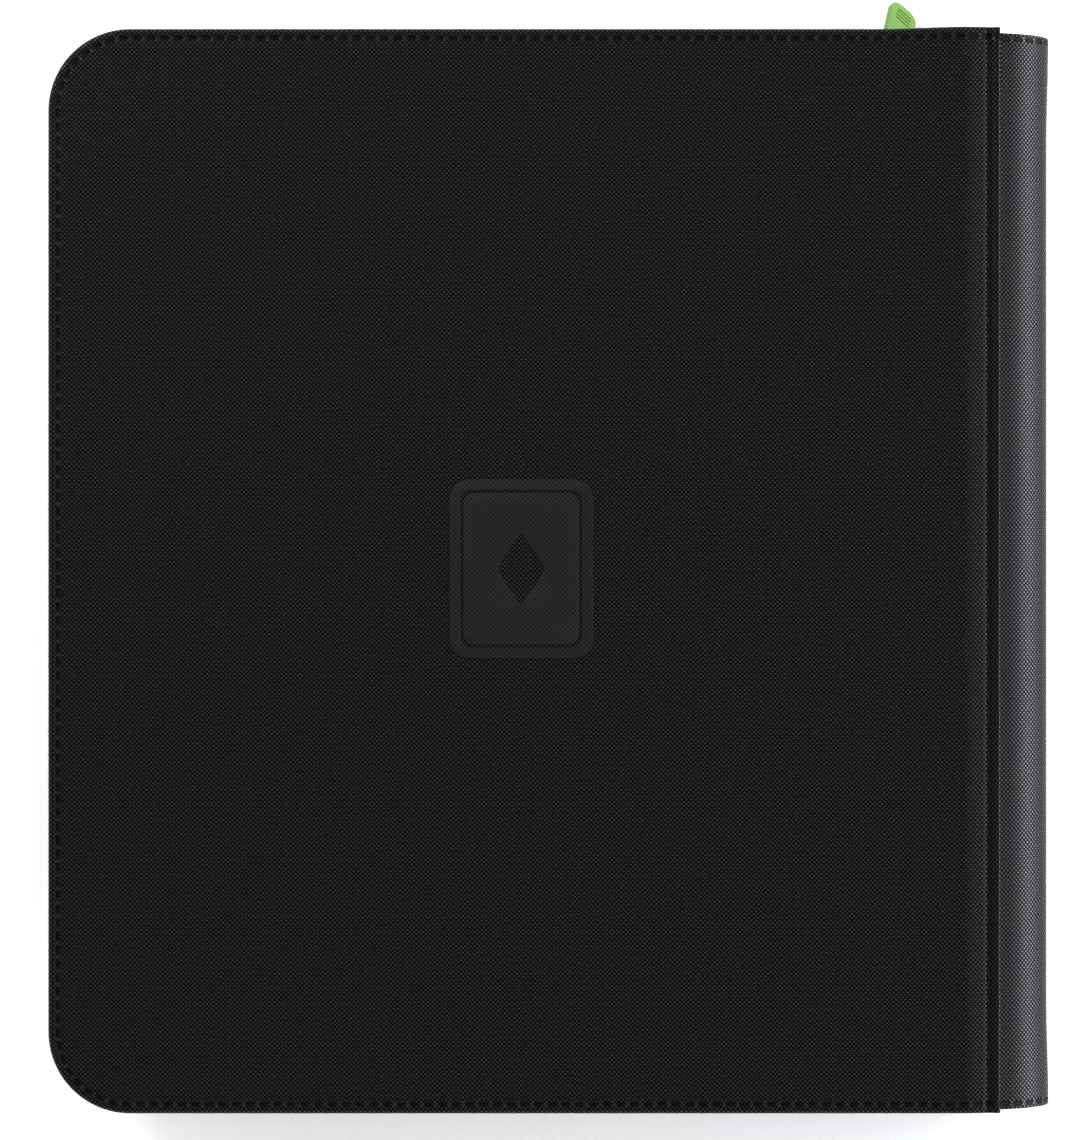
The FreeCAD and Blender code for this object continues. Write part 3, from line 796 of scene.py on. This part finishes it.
def stitch_tree():
    """Stitches laid end to end along a line."""
    grower = Grower("stitch_row", Pitch="NodeSocketFloat", Length="NodeSocketFloat",
                    Thread="NodeSocketFloat", Slant="NodeSocketFloat", Material="NodeSocketMaterial")
    spaced = grower.spaced_line()
    ball = grower.node("GeometryNodeMeshUVSphere", Segments=8, Rings=6, Radius=0.5)
    shape = grower.node("ShaderNodeCombineXYZ", X=grower.given("Length"), Y=grower.given("Thread"),
                        Z=grower.given("Thread"))
    thread = grower.node("GeometryNodeTransform", Geometry=ball, Scale=shape)
    tangent = grower.node("GeometryNodeInputTangent")
    turn = grower.node("FunctionNodeAlignRotationToVector", {"axis": "X"}, Vector=tangent)
    wobble = grower.node("FunctionNodeRandomValue", {"data_type": "FLOAT"}, 1, _2=-0.05, _3=0.05,
                         Seed=7)
    slant = grower.node("ShaderNodeMath", {"operation": "ADD"}, _0=wobble, _1=grower.given("Slant"))
    tilt = grower.node("ShaderNodeCombineXYZ", Z=slant)
    tilted = grower.node("FunctionNodeEulerToRotation", _0=tilt)
    both = grower.node("FunctionNodeRotateRotation", {"rotation_space": "LOCAL"}, Rotation=turn,
                       Rotate_By=tilted)
    return grower.finish(spaced, thread, both)


def coil_tree():
    """Turns of a nylon coil along a line: oval rings stood across it and leant along it."""
    grower = Grower("coil_row", Pitch="NodeSocketFloat", Wire="NodeSocketFloat",
                    Height="NodeSocketFloat", Depth="NodeSocketFloat", Material="NodeSocketMaterial")
    spaced = grower.spaced_line()
    ring = grower.node("GeometryNodeCurvePrimitiveCircle", {"mode": "RADIUS"}, Resolution=12,
                       Radius=0.5)
    oval = grower.node("ShaderNodeCombineXYZ", X=grower.given("Height"), Y=grower.given("Depth"),
                       Z=1.0)
    shaped = grower.node("GeometryNodeTransform", Geometry=ring, Scale=oval)
    half_wire = grower.node("ShaderNodeMath", {"operation": "MULTIPLY"}, _0=grower.given("Wire"),
                            _1=0.5)
    section = grower.node("GeometryNodeCurvePrimitiveCircle", {"mode": "RADIUS"}, Resolution=5,
                          Radius=half_wire)
    turn = grower.node("GeometryNodeCurveToMesh", Curve=shaped, Profile_Curve=section)
    tangent = grower.node("GeometryNodeInputTangent")
    along = grower.node("FunctionNodeAlignRotationToVector", {"axis": "Z"}, Vector=tangent)
    upright = grower.node("FunctionNodeAlignRotationToVector", {"axis": "X", "pivot_axis": "Z"},
                          Rotation=along, Vector=(0.0, 0.0, 1.0))
    lean = grower.node("FunctionNodeEulerToRotation", _0=(0.0, 0.22, 0.0))
    leant = grower.node("FunctionNodeRotateRotation", {"rotation_space": "LOCAL"}, Rotation=upright,
                        Rotate_By=lean)
    return grower.finish(spaced, turn, leant)


def stitches(rows, name, paths, body, slant=0.0):
    """A row of stitches on one body."""
    pitch = sizes().stitch_pitch
    piece = rows.grow(name, paths, "thread", Pitch=pitch, Length=pitch * 0.70,
                      Thread=sizes().thread, Slant=slant)
    return ride(piece, body, "cover_skin")


def cover_stitches(rows, side):
    """Rows round the cover and along its hem, on the face and on the inside."""
    seam = sizes().stitch_inset
    end = HEM_END - 1.2 * MM
    xs = stations(end)
    lift = 0.07 * MM
    sunk = 0.26 * MM
    face = [(x, y + proud(x, y), cover_level(x, 0.0) - sunk) for x, y in edge_path(seam, xs)]
    under = [(x, y + proud(x, y), cover_level(x, 1.0) - lift) for x, y in edge_path(seam, xs)]
    hem = BOARD_END + HEM_SEAM * MM
    level = cover_level(hem, 0.0) + lift
    tall = HALF - seam - 2 * MM
    seam_line = [(hem, tall - 2 * tall * i / 120, level) for i in range(121)]
    paths = [face, under, seam_line]
    if side == "front":
        paths = [turned(path) for path in paths]
    stitches(rows, f"{side}_cover_stitches", paths, f"{side}_cover", slant=0.10)


def spine_stitches(rows):
    """One row across each end of the spine."""
    line = bow_line()[2:-2]
    edge = SPINE_HIGH.y - sizes().spine_inset
    out = SPINE_WALL - 0.10 * MM
    paths = [[spine_point(s, y, out) for s in line] for y in (edge, -edge)]
    flatten(stitches(rows, "spine_stitches", paths, "spine"))


# Zip ---------------------------------------------------------------------------------------

def mirrored(points, side):
    """The back cover's copy of points given for the front."""
    return turned(points) if side == "back" else points


def tape_piece(side):
    """Woven tape: a foot under the lining and a wall that bellies slightly outwards."""
    face = HALF - TAPE_FACE
    wall, foot = 0.55 * MM, 3.1 * MM
    low, high = COVER - 0.12 * MM, MIDDLE - 0.25 * MM
    heights = [low + (high - low) * i / 14 for i in range(15)]

    def belly(z):
        return 0.35 * MM * math.sin(math.pi * min(1.0, (z - low) / (11.5 * MM))) ** 2

    loop = [(face + foot, low), (face + 1.6 * MM, low), (face - belly(low), low)]
    loop += [(face - belly(z), z) for z in heights[1:]]
    loop += [(face + 0.2 * MM, high + 0.12 * MM), (face + 0.4 * MM, high + 0.12 * MM)]
    loop += [(face + wall - belly(z), z) for z in reversed(heights[2:])]
    loop += [(face + wall + 0.5 * MM, low + 0.34 * MM), (face + foot, low + 0.24 * MM)]
    xs = stations(TAPE_END)
    run = run_lengths(edge_path(face, xs))
    across = run_lengths(loop)
    rings = [edge_path(inset, xs) for inset, _ in loop]
    rows = [[(ring[i][0], ring[i][1], z) for ring, (_, z) in zip(rings, loop)] for i in range(len(run))]
    points, faces = sweep(rows)
    weave = [(r, a) for r in run for a in across]
    piece = make_piece(f"{side}_tape", mirrored(points, side), faces, "tape_weave",
                       {"weave": weave})
    outward(piece)
    ride(piece, f"{side}_cover", "zip_tape", f"{side}_zip_tape")


def coil_line(offset, lift):
    """Line of a coil row: a distance in from the edge and below the middle of the binder."""
    xs = [x for x in stations(TAPE_END) if x <= COIL_END]
    return [(x, y, MIDDLE - lift) for x, y in edge_path(offset, xs)]


def coil_piece(side, turns, rows):
    """A coil row sewn on the tape, its turns meshing with the other row's."""
    offset = HALF - TAPE_FACE - 0.85 * MM
    line = coil_line(offset, 1.02 * MM)
    if side == "back":
        step = sizes().coil_pitch / 2
        first, second = Vector(line[0]), Vector(line[1])
        line[0] = tuple(first + (second - first).normalized() * step)
    piece = turns.grow(f"{side}_coil", [mirrored(line, side)], "coil_nylon",
                       Pitch=sizes().coil_pitch, Wire=sizes().coil_wire, Height=1.95 * MM,
                       Depth=1.05 * MM)
    ride(piece, f"{side}_cover", "zip_coil", f"{side}_zip_coil")
    sewn = coil_line(offset - 0.78 * MM, 1.35 * MM)
    sewing = rows.grow(f"{side}_coil_stitches", [mirrored(sewn, side)], "thread",
                       Pitch=sizes().coil_pitch, Length=1.5 * MM, Thread=0.30 * MM, Slant=0.12)
    ride(sewing, f"{side}_cover", "zip_coil")


def rounded_block(work, centre, size, radius):
    """Add a block with rounded edges to a bmesh."""
    made = bmesh.ops.create_cube(work, size=1.0)["verts"]
    for vertex in made:
        vertex.co = Vector(centre) + Vector((vertex.co[i] * size[i] for i in range(3)))
    edges = {edge for vertex in made for edge in vertex.link_edges}
    bmesh.ops.bevel(work, geom=list(edges), offset=radius, segments=3, affect="EDGES", profile=0.5)


def block_piece(name, blocks, material, body, slot, *nodes):
    """A piece made of rounded blocks."""
    work = bmesh.new()
    for centre, size, radius in blocks:
        rounded_block(work, centre, size, radius)
    return ride(show_work(name, work, material), body, slot, *nodes)


def stops_piece(side):
    """Crimped metal clips at both ends of a coil row."""
    low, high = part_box(f"{side}_zip_stops")
    depth = 1.9 * MM
    blocks = []
    for y in (high.y - depth / 2, low.y + depth / 2):
        centre = ((low.x + high.x) / 2, y, (low.z + high.z) / 2)
        blocks.append((centre, (high.x - low.x, depth, high.z - low.z), 0.45 * MM))
        blocks.append((centre, ((high.x - low.x) * 0.45, depth + 0.2 * MM, high.z - low.z), 0.3 * MM))
    block_piece(f"{side}_stops", blocks, "black_enamel", f"{side}_cover", "zip_metal",
                f"{side}_zip_stops")


def slider_piece():
    """Slider body: two waisted plates, a lip on the lower side and the blade between them."""
    low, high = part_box("zip_slider")
    middle_x, middle_z = (low.x + high.x) / 2, (low.z + high.z) / 2
    long, wide = high.x - low.x, (high.z - low.z) / 2
    plate, steps, squareness = 1.2 * MM, 40, 3.2
    swell = ((0.93, 0.0), (0.98, 0.1), (1.0, 0.3), (0.985, 0.6), (0.93, 0.82), (0.80, 0.94),
             (0.5, 1.0))
    work = bmesh.new()
    outline = []
    for i in range(steps):
        turn = 2 * math.pi * i / steps
        along, up = math.cos(turn), math.sin(turn)
        square = (abs(along) ** squareness + abs(up) ** squareness) ** (-1 / squareness)
        waist = 1 - 0.20 * smooth_step(-along * square, -0.2, 0.9)
        outline.append((long / 2 * along * square, wide * up * square * waist))
    for inner, outer in ((high.y - plate, high.y), (low.y + plate, low.y)):
        rows = []
        for share, level in swell:
            y = inner + (outer - inner) * level
            rows.append([work.verts.new((middle_x + x * share, y, middle_z + z * share))
                         for x, z in outline])
        for before, after in zip(rows, rows[1:]):
            for corners in strip(range(steps), range(steps), True):
                work.faces.new((before[corners[0]], before[corners[1]], after[corners[2]],
                                after[corners[3]]))
        work.faces.new(rows[0])
        work.faces.new(rows[-1])
    lip = (middle_x, high.y - plate - 0.7 * MM, low.z + 0.55 * MM)
    rounded_block(work, lip, (long * 0.9, 1.6 * MM, 0.9 * MM), 0.3 * MM)
    post = (high.x - 1.3 * MM, (low.y + high.y) / 2, middle_z)
    rounded_block(work, post, (2.2 * MM, high.y - low.y - 1.6 * MM, 0.34 * MM), 0.1 * MM)
    for x in (low.x + 2.2 * MM, high.x - 2.2 * MM):
        foot = (x, high.y + 0.1 * MM, middle_z)
        rounded_block(work, foot, (1.9 * MM, 0.7 * MM, 2.2 * MM), 0.25 * MM)
    ride(show_work("slider", work, "black_enamel"), "slider", "zip_metal", "zip_slider")


# Pull tab ----------------------------------------------------------------------------------

def tab_frame():
    """Where the tab hangs: its base and its across, along and facing directions."""
    bail = Vector(JOINTS["ring_swing"]["pos_m"])
    base = Vector(JOINTS["tab_lift"]["pos_m"])
    across = Vector(JOINTS["tab_lift"]["axis"]).normalized()
    along = (base - bail).normalized()
    return base, across, along, across.cross(along)


def rounded_outline(half_wide, start, stop, corner, shoulder=None, steps=8):
    """Points round a rectangle with rounded corners; shoulder rounds the starting end."""
    shoulder = corner if shoulder is None else shoulder
    tip, root = max(corner, 0.02 * MM), max(shoulder, 0.02 * MM)
    centres = ((half_wide - tip, stop - tip, tip), (tip - half_wide, stop - tip, tip),
               (root - half_wide, start + root, root), (half_wide - root, start + root, root))
    outline = []
    for quarter, (cx, cy, radius) in enumerate(centres):
        for i in range(steps + 1):
            angle = math.pi / 2 * (quarter + i / steps)
            outline.append((cx + radius * math.cos(angle), cy + radius * math.sin(angle)))
    return outline


def slab(outlines, low, high, bevel):
    """Mesh of a flat plate from low to high with soft edges; inner outlines are holes."""
    curve = bpy.data.curves.new("slab", "CURVE")
    curve.dimensions = "2D"
    curve.fill_mode = "BOTH"
    curve.extrude = (high - low) / 2 - bevel
    curve.bevel_depth = bevel
    curve.bevel_resolution = 2
    curve.offset = -bevel
    for outline in outlines:
        line = curve.splines.new("POLY")
        line.points.add(len(outline) - 1)
        for point, (x, y) in zip(line.points, outline):
            point.co = (x, y, 0.0, 1.0)
        line.use_cyclic_u = True
    carrier = bpy.data.objects.new("slab", curve)
    bpy.context.collection.objects.link(carrier)
    graph = bpy.context.evaluated_depsgraph_get()
    mesh = bpy.data.meshes.new_from_object(carrier.evaluated_get(graph))
    bpy.data.objects.remove(carrier)
    for vertex in mesh.vertices:
        vertex.co.z += (low + high) / 2
    return mesh


def slabs_piece(name, slabs, material, place):
    """One piece from several plates, each point moved by place."""
    work = bmesh.new()
    for mesh in slabs:
        work.from_mesh(mesh)
    bmesh.ops.remove_doubles(work, verts=work.verts, dist=0.0005 * MM)
    for vertex in work.verts:
        vertex.co = place(*vertex.co)
    bmesh.ops.recalc_face_normals(work, faces=work.faces)
    mesh = bpy.data.meshes.new(name)
    work.to_mesh(mesh)
    work.free()
    mesh.shade_smooth()
    mesh.set_sharp_from_angle(angle=math.radians(50))
    return show(name, mesh, material)


def notched(outline, half_wide, depth, start):
    """Cut a notch for the ring into the starting end of an outline."""
    middle = next(i for i, (x, y) in enumerate(outline) if i > len(outline) // 2 and x > 0)
    cut = [(-half_wide, start), (-half_wide, depth - half_wide / 2)]
    for i in range(1, 6):
        angle = math.pi * (1 - i / 6)
        cut.append((half_wide * math.cos(angle), depth - half_wide / 2 * (1 - math.sin(angle))))
    cut += [(half_wide, depth - half_wide / 2), (half_wide, start)]
    return outline[:middle] + cut + outline[middle:]


def tab_piece():
    """Moulded rubber tab, thinner round the eye, with grip grooves let into both faces."""
    base, across, along, facing = tab_frame()
    half, root, tip = 5.45 * MM, -0.7 * MM, 17.5 * MM
    corner, shoulder = 4.0 * MM, 1.0 * MM
    neck, face, groove, inside = 0.70 * MM, 1.0 * MM, 0.34 * MM, 0.03 * MM
    eye = rounded_outline(0.8 * MM, neck, 3.1 * MM, 0.4 * MM)
    core = rounded_outline(half - inside, root + inside, tip - inside, corner, shoulder)
    outer = rounded_outline(half, root, tip, corner, shoulder)
    outlines = [notched(outer, 1.5 * MM, 3.5 * MM, root)]
    for middle, wide in ((9.0, 2.9), (10.7, 3.1), (12.4, 3.1), (14.1, 2.9)):
        outlines.append(rounded_outline(wide * MM, middle * MM - groove, middle * MM + groove, groove))
    slabs = [slab([core, eye], -neck, neck, 0.3 * MM)]
    for low, high in ((0.30 * MM, face), (-face, -0.30 * MM)):
        slabs.append(slab(outlines, low, high, 0.20 * MM))
    piece = slabs_piece("pull_tab_rubber", slabs, "lime_rubber",
                        lambda u, v, w: base + across * u + along * v + facing * w)
    ride(piece, "tab", "pull_rubber", "pull_tab")


# Pocket leaves -----------------------------------------------------------------------------

COLUMNS, ROWS = 4, 3
LEAF_THICK, LEAF_CORNER, LEAF_BINDING = 0.28 * MM, 6.0 * MM, 13.0 * MM
POCKET_STEPS, POCKET_WELD = 6, 1.2 * MM


def leaf_outline(low, high):
    """Corners of a leaf, round at the fore-edge."""
    outline = [(high.x, high.y)]
    for y, turn in ((high.y, 1), (low.y, 2)):
        cx, cy = low.x + LEAF_CORNER, y - math.copysign(LEAF_CORNER, y)
        for i in range(7):
            angle = math.pi / 2 * (turn + i / 6)
            outline.append((cx + LEAF_CORNER * math.cos(angle), cy + LEAF_CORNER * math.sin(angle)))
    return outline + [(high.x, low.y)]


def pocket(x0, y0, wide, tall):
    """Points of one pocket's film, flat at its weld and full inside: (x, y, rise)."""
    points = []
    for i in range(POCKET_STEPS + 1):
        for j in range(POCKET_STEPS + 1):
            a, b = i / POCKET_STEPS, j / POCKET_STEPS
            inside = 0 < a < 1 and 0 < b < 1
            puff = (math.sin(math.pi * a) * math.sin(math.pi * b)) ** 0.35 if inside else 0.0
            points.append((x0 + wide * a, y0 + tall * b, 0.02 * MM + sizes().film_rise * puff))
    return points


def leaf_piece(number):
    """One leaf: a black sheet with twelve clear side-loading pockets welded on each face."""
    node = f"page_{number:02d}"
    low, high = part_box(node)
    level, half = (low.z + high.z) / 2, LEAF_THICK / 2
    outline = leaf_outline(low, high)
    points = [(x, y, level + half) for x, y in outline] + [(x, y, level - half) for x, y in outline]
    count = len(outline)
    faces = strip(range(count), range(count, 2 * count), True)
    faces.append(tuple(range(count)))
    faces.append(tuple(reversed(range(count, 2 * count))))
    sheet_faces = len(faces)
    wide = (high.x - LEAF_BINDING - low.x - 4 * MM) / COLUMNS
    tall = (high.y - low.y - 6 * MM) / ROWS
    row_length = POCKET_STEPS + 1
    for side in (1, -1):
        for place in range(COLUMNS * ROWS):
            column, row = divmod(place, ROWS)
            base = len(points)
            film = pocket(low.x + 2 * MM + wide * column + POCKET_WELD,
                          low.y + 3 * MM + tall * row + POCKET_WELD,
                          wide - 2 * POCKET_WELD, tall - 2 * POCKET_WELD)
            points += [(x, y, level + side * (half + rise)) for x, y, rise in film]
            for cell in range(POCKET_STEPS ** 2):
                i, j = divmod(cell, POCKET_STEPS)
                a = base + i * row_length + j
                quad = (a, a + row_length, a + row_length + 1, a + 1)
                faces.append(quad if side > 0 else quad[::-1])
    piece = make_piece(f"leaf_{number:02d}_pockets", points, faces, "leaf_sheet")
    piece.data.materials.append(bpy.data.materials["pocket_film"])
    for polygon in piece.data.polygons[sheet_faces:]:
        polygon.material_index = 1
    ride(piece, f"leaf_{number:02d}", "leaf_film", node)


# Emblem ------------------------------------------------------------------------------------

def emblem_piece():
    """Plain card shape pressed on the cover: a card with a line and a lozenge left out."""
    x0, y0 = (HEM_END - FORE_EDGE) / 2 - 0.9 * MM, 0.8 * MM
    cards = ((23.2, 29, 6.5), (19.8, 25.6, 4.0), (18.7, 24.5, 3.4))
    outlines = [rounded_outline(half_wide * MM, -half_tall * MM, half_tall * MM, corner * MM)
                for half_wide, half_tall, corner in cards]
    lozenge = []
    steps, fullness = 48, 1.12
    for i in range(steps):
        angle = 2 * math.pi * i / steps
        c, s = math.cos(angle), math.sin(angle)
        reach = 1 / (abs(c) ** fullness + abs(s) ** fullness) ** (1 / fullness)
        lozenge.append((7.6 * MM * c * reach, 11.4 * MM * s * reach))
    outlines.append(lozenge)
    low, high = HEIGHT - 0.02 * MM, HEIGHT + 0.14 * MM
    piece = slabs_piece("cover_emblem", [slab(outlines, low, high, 0.06 * MM)], "emblem_press",
                        lambda x, y, z: Vector((x + x0, y + y0, z)))
    ride(piece, "back_cover", "cover_skin")


def emblem_finish():
    """Pressed film: smoother and a shade lighter than the grain round it."""
    finish = Finish("emblem_press", Specular_IOR_Level=0.10, Coat_Roughness=0.3, Coat_Weight=0.12)
    across, along = finish.parts(finish.place())
    pitch = sizes().weave_pitch
    lattice = wave(finish, across, pitch) * wave(finish, along, pitch)
    tops = finish.between(lattice, -0.2, 0.9)
    # painted shade: the lattice pits are painted darker than its tops
    tone = finish.mix(tops, rgba(colours().grain, 0.42), rgba(colours().grain, 1.05))
    finish.set(Base_Color=tone, Roughness=0.46 - 0.05 * tops,
               Normal=finish.bump(tops, 0.05 * MM))


# Operators ---------------------------------------------------------------------------------

class BuildFinishes(bpy.types.Operator):
    """Make every material of the binder."""
    bl_idname = "binder.finishes"
    bl_label = "Finishes"

    def execute(self, context):
        tones = colours()
        skin_finish("embossed_skin")
        emblem_finish()
        woven_finish("lining_cloth", tones.lining, 0.9 * MM, 0.12 * MM)
        woven_finish("tape_weave", tones.tape, 0.7 * MM, 0.10 * MM)
        plain_finish("thread", tones.thread, 0.6, 5000.0, 0.05 * MM, Specular_IOR_Level=0.12)
        plain_finish("coil_nylon", tones.coil, 0.34, 2500.0, 0.02 * MM)
        plain_finish("black_enamel", tones.enamel, 0.30, 1800.0, 0.02 * MM, Metallic=0.3)
        plain_finish("bright_steel", tones.wire, 0.28, 1500.0, 0.02 * MM, Metallic=1.0)
        plain_finish("lime_rubber", tones.pull, 0.5, 1600.0, 0.02 * MM, 0.06, Specular_IOR_Level=0.3)
        plain_finish("leaf_sheet", tones.leaf, 0.55, 700.0, 0.04 * MM)
        plain_finish("board_grey", tones.board, 0.9, 900.0, 0.06 * MM)
        film_finish("pocket_film")
        return {"FINISHED"}


class BuildCovers(bpy.types.Operator):
    """Make both wrapped covers with their linings."""
    bl_idname = "binder.covers"
    bl_label = "Covers"

    def execute(self, context):
        for side in SIDES:
            cover_piece(side)
            lining_piece(side)
            dress(f"{side}_cover_board", "board_grey")
        return {"FINISHED"}


class BuildEmblem(bpy.types.Operator):
    """Make the plain card shape pressed on the cover."""
    bl_idname = "binder.emblem"
    bl_label = "Emblem"

    def execute(self, context):
        emblem_piece()
        return {"FINISHED"}


class BuildSpine(bpy.types.Operator):
    """Make the bowed spine and its inner cloth."""
    bl_idname = "binder.spine"
    bl_label = "Spine"

    def execute(self, context):
        spine_piece()
        spine_lining_piece()
        dress("page_binding_strip", "leaf_sheet")
        dress("page_roots", "leaf_sheet")
        return {"FINISHED"}


class BuildStitches(bpy.types.Operator):
    """Sew the covers, the hems and the ends of the spine."""
    bl_idname = "binder.stitches"
    bl_label = "Stitches"

    def execute(self, context):
        rows = stitch_tree()
        for side in SIDES:
            cover_stitches(rows, side)
        spine_stitches(rows)
        return {"FINISHED"}


class BuildZip(bpy.types.Operator):
    """Make the tapes, coil rows, stops and slider."""
    bl_idname = "binder.zip"
    bl_label = "Zip"

    def execute(self, context):
        turns, rows = coil_tree(), stitch_tree()
        for side in SIDES:
            tape_piece(side)
            coil_piece(side, turns, rows)
            stops_piece(side)
        slider_piece()
        dress("slider_bail", "black_enamel")
        dress("pull_ring", "bright_steel")
        return {"FINISHED"}


class BuildPull(bpy.types.Operator):
    """Make the rubber pull tab."""
    bl_idname = "binder.pull"
    bl_label = "Pull tab"

    def execute(self, context):
        tab_piece()
        return {"FINISHED"}


class BuildLeaves(bpy.types.Operator):
    """Make the pocket leaves."""
    bl_idname = "binder.leaves"
    bl_label = "Pocket leaves"

    def execute(self, context):
        for number in range(1, 21):
            leaf_piece(number)
        return {"FINISHED"}


class BuildStage(bpy.types.Operator):
    """Make the floor, the lights and the camera."""
    bl_idname = "binder.stage"
    bl_label = "Stage"

    def execute(self, context):
        scene = context.scene
        scene.view_settings.view_transform = "Standard"
        finish = Finish("floor_paper", Specular_IOR_Level=0.2)
        shade = finish.noise(finish.place(), 3.0, 2.0)
        tone = finish.mix(shade, rgba(colours().floor, 0.985), rgba(colours().floor))
        finish.set(Base_Color=tone, Roughness=0.9)
        floor = make_piece("floor", [(-3, -3, 0), (3, -3, 0), (3, 3, 0), (-3, 3, 0)], [(0, 1, 2, 3)],
                           "floor_paper")
        lamp("key_softbox", (-1.05, 1.05, 1.55), 0.8, 0.8, 26.0, (1.0, 0.99, 0.97))
        lamp("side_softbox", (1.35, 0.0, 0.27), 1.5, 0.5, 46.0, (0.87, 0.91, 1.0))
        scene.world = soft_room()
        place_camera(scene)
        return {"FINISHED"}


def soft_room():
    """White surroundings that are dimmer straight above the binder."""
    world = bpy.data.worlds.new("soft_room")
    world.use_nodes = True
    tree = world.node_tree
    where = tree.nodes.new("ShaderNodeTexCoord")
    split = tree.nodes.new("ShaderNodeSeparateXYZ")
    rise = tree.nodes.new("ShaderNodeMapRange")
    rise.interpolation_type = "SMOOTHSTEP"
    for title, number in (("From Min", 0.55), ("From Max", 0.88), ("To Min", 2.2), ("To Max", 0.05)):
        rise.inputs[title].default_value = number
    tree.links.new(where.outputs["Generated"], split.inputs[0])
    tree.links.new(split.outputs[2], rise.inputs["Value"])
    tree.links.new(rise.outputs[0], tree.nodes["Background"].inputs["Strength"])
    tree.nodes["Background"].inputs["Color"].default_value = (1.0, 1.0, 1.0, 1.0)
    return world


def lamp(name, place, wide, tall, power, tint):
    """A soft rectangular light that faces the binder."""
    light = bpy.data.lights.new(name, "AREA")
    light.shape = "RECTANGLE"
    light.size, light.size_y, light.energy = wide, tall, power
    light.color = tint
    made = bpy.data.objects.new(name, light)
    made.location = place
    aim = Vector((0, 0, HEIGHT)) - Vector(place)
    made.rotation_euler = aim.to_track_quat("-Z", "Y").to_euler()
    bpy.context.collection.objects.link(made)


def place_camera(scene):
    """Camera straight above the binder, a little off its middle."""
    height = 1.3
    view_half = 184.85 * MM
    camera = bpy.data.cameras.new("camera")
    camera.sensor_width = 36.0
    camera.lens = 18.0 * height / view_half
    camera.clip_start, camera.clip_end = 0.05, 20.0
    made = bpy.data.objects.new("camera", camera)
    made.location = (-4.95 * MM, 0.4 * MM, HEIGHT + height)
    scene.collection.objects.link(made)
    scene.camera = made


STEPS = (BuildFinishes, BuildCovers, BuildEmblem, BuildSpine, BuildStitches, BuildZip, BuildPull,
         BuildLeaves, BuildStage)


class BinderPanel(bpy.types.Panel):
    """Lists the binder's steps in the sidebar."""
    bl_idname = "BINDER_PT_panel"
    bl_label = "Trading card binder"
    bl_space_type = "VIEW_3D"
    bl_region_type = "UI"
    bl_category = "Binder"

    def draw(self, context):
        for step in STEPS:
            self.layout.operator(step.bl_idname)


CLASSES = (BinderSizes, BinderColours, *STEPS, BinderPanel)


def register():
    for item in CLASSES:
        bpy.utils.register_class(item)
    bpy.types.Scene.binder_sizes = bpy.props.PointerProperty(type=BinderSizes)
    bpy.types.Scene.binder_colours = bpy.props.PointerProperty(type=BinderColours)


def unregister():
    del bpy.types.Scene.binder_colours
    del bpy.types.Scene.binder_sizes
    for item in reversed(CLASSES):
        bpy.utils.unregister_class(item)


def main():
    """Build the whole binder."""
    register()
    for step in STEPS:
        attrgetter(step.bl_idname)(bpy.ops)()


if __name__ == "__main__":
    main()
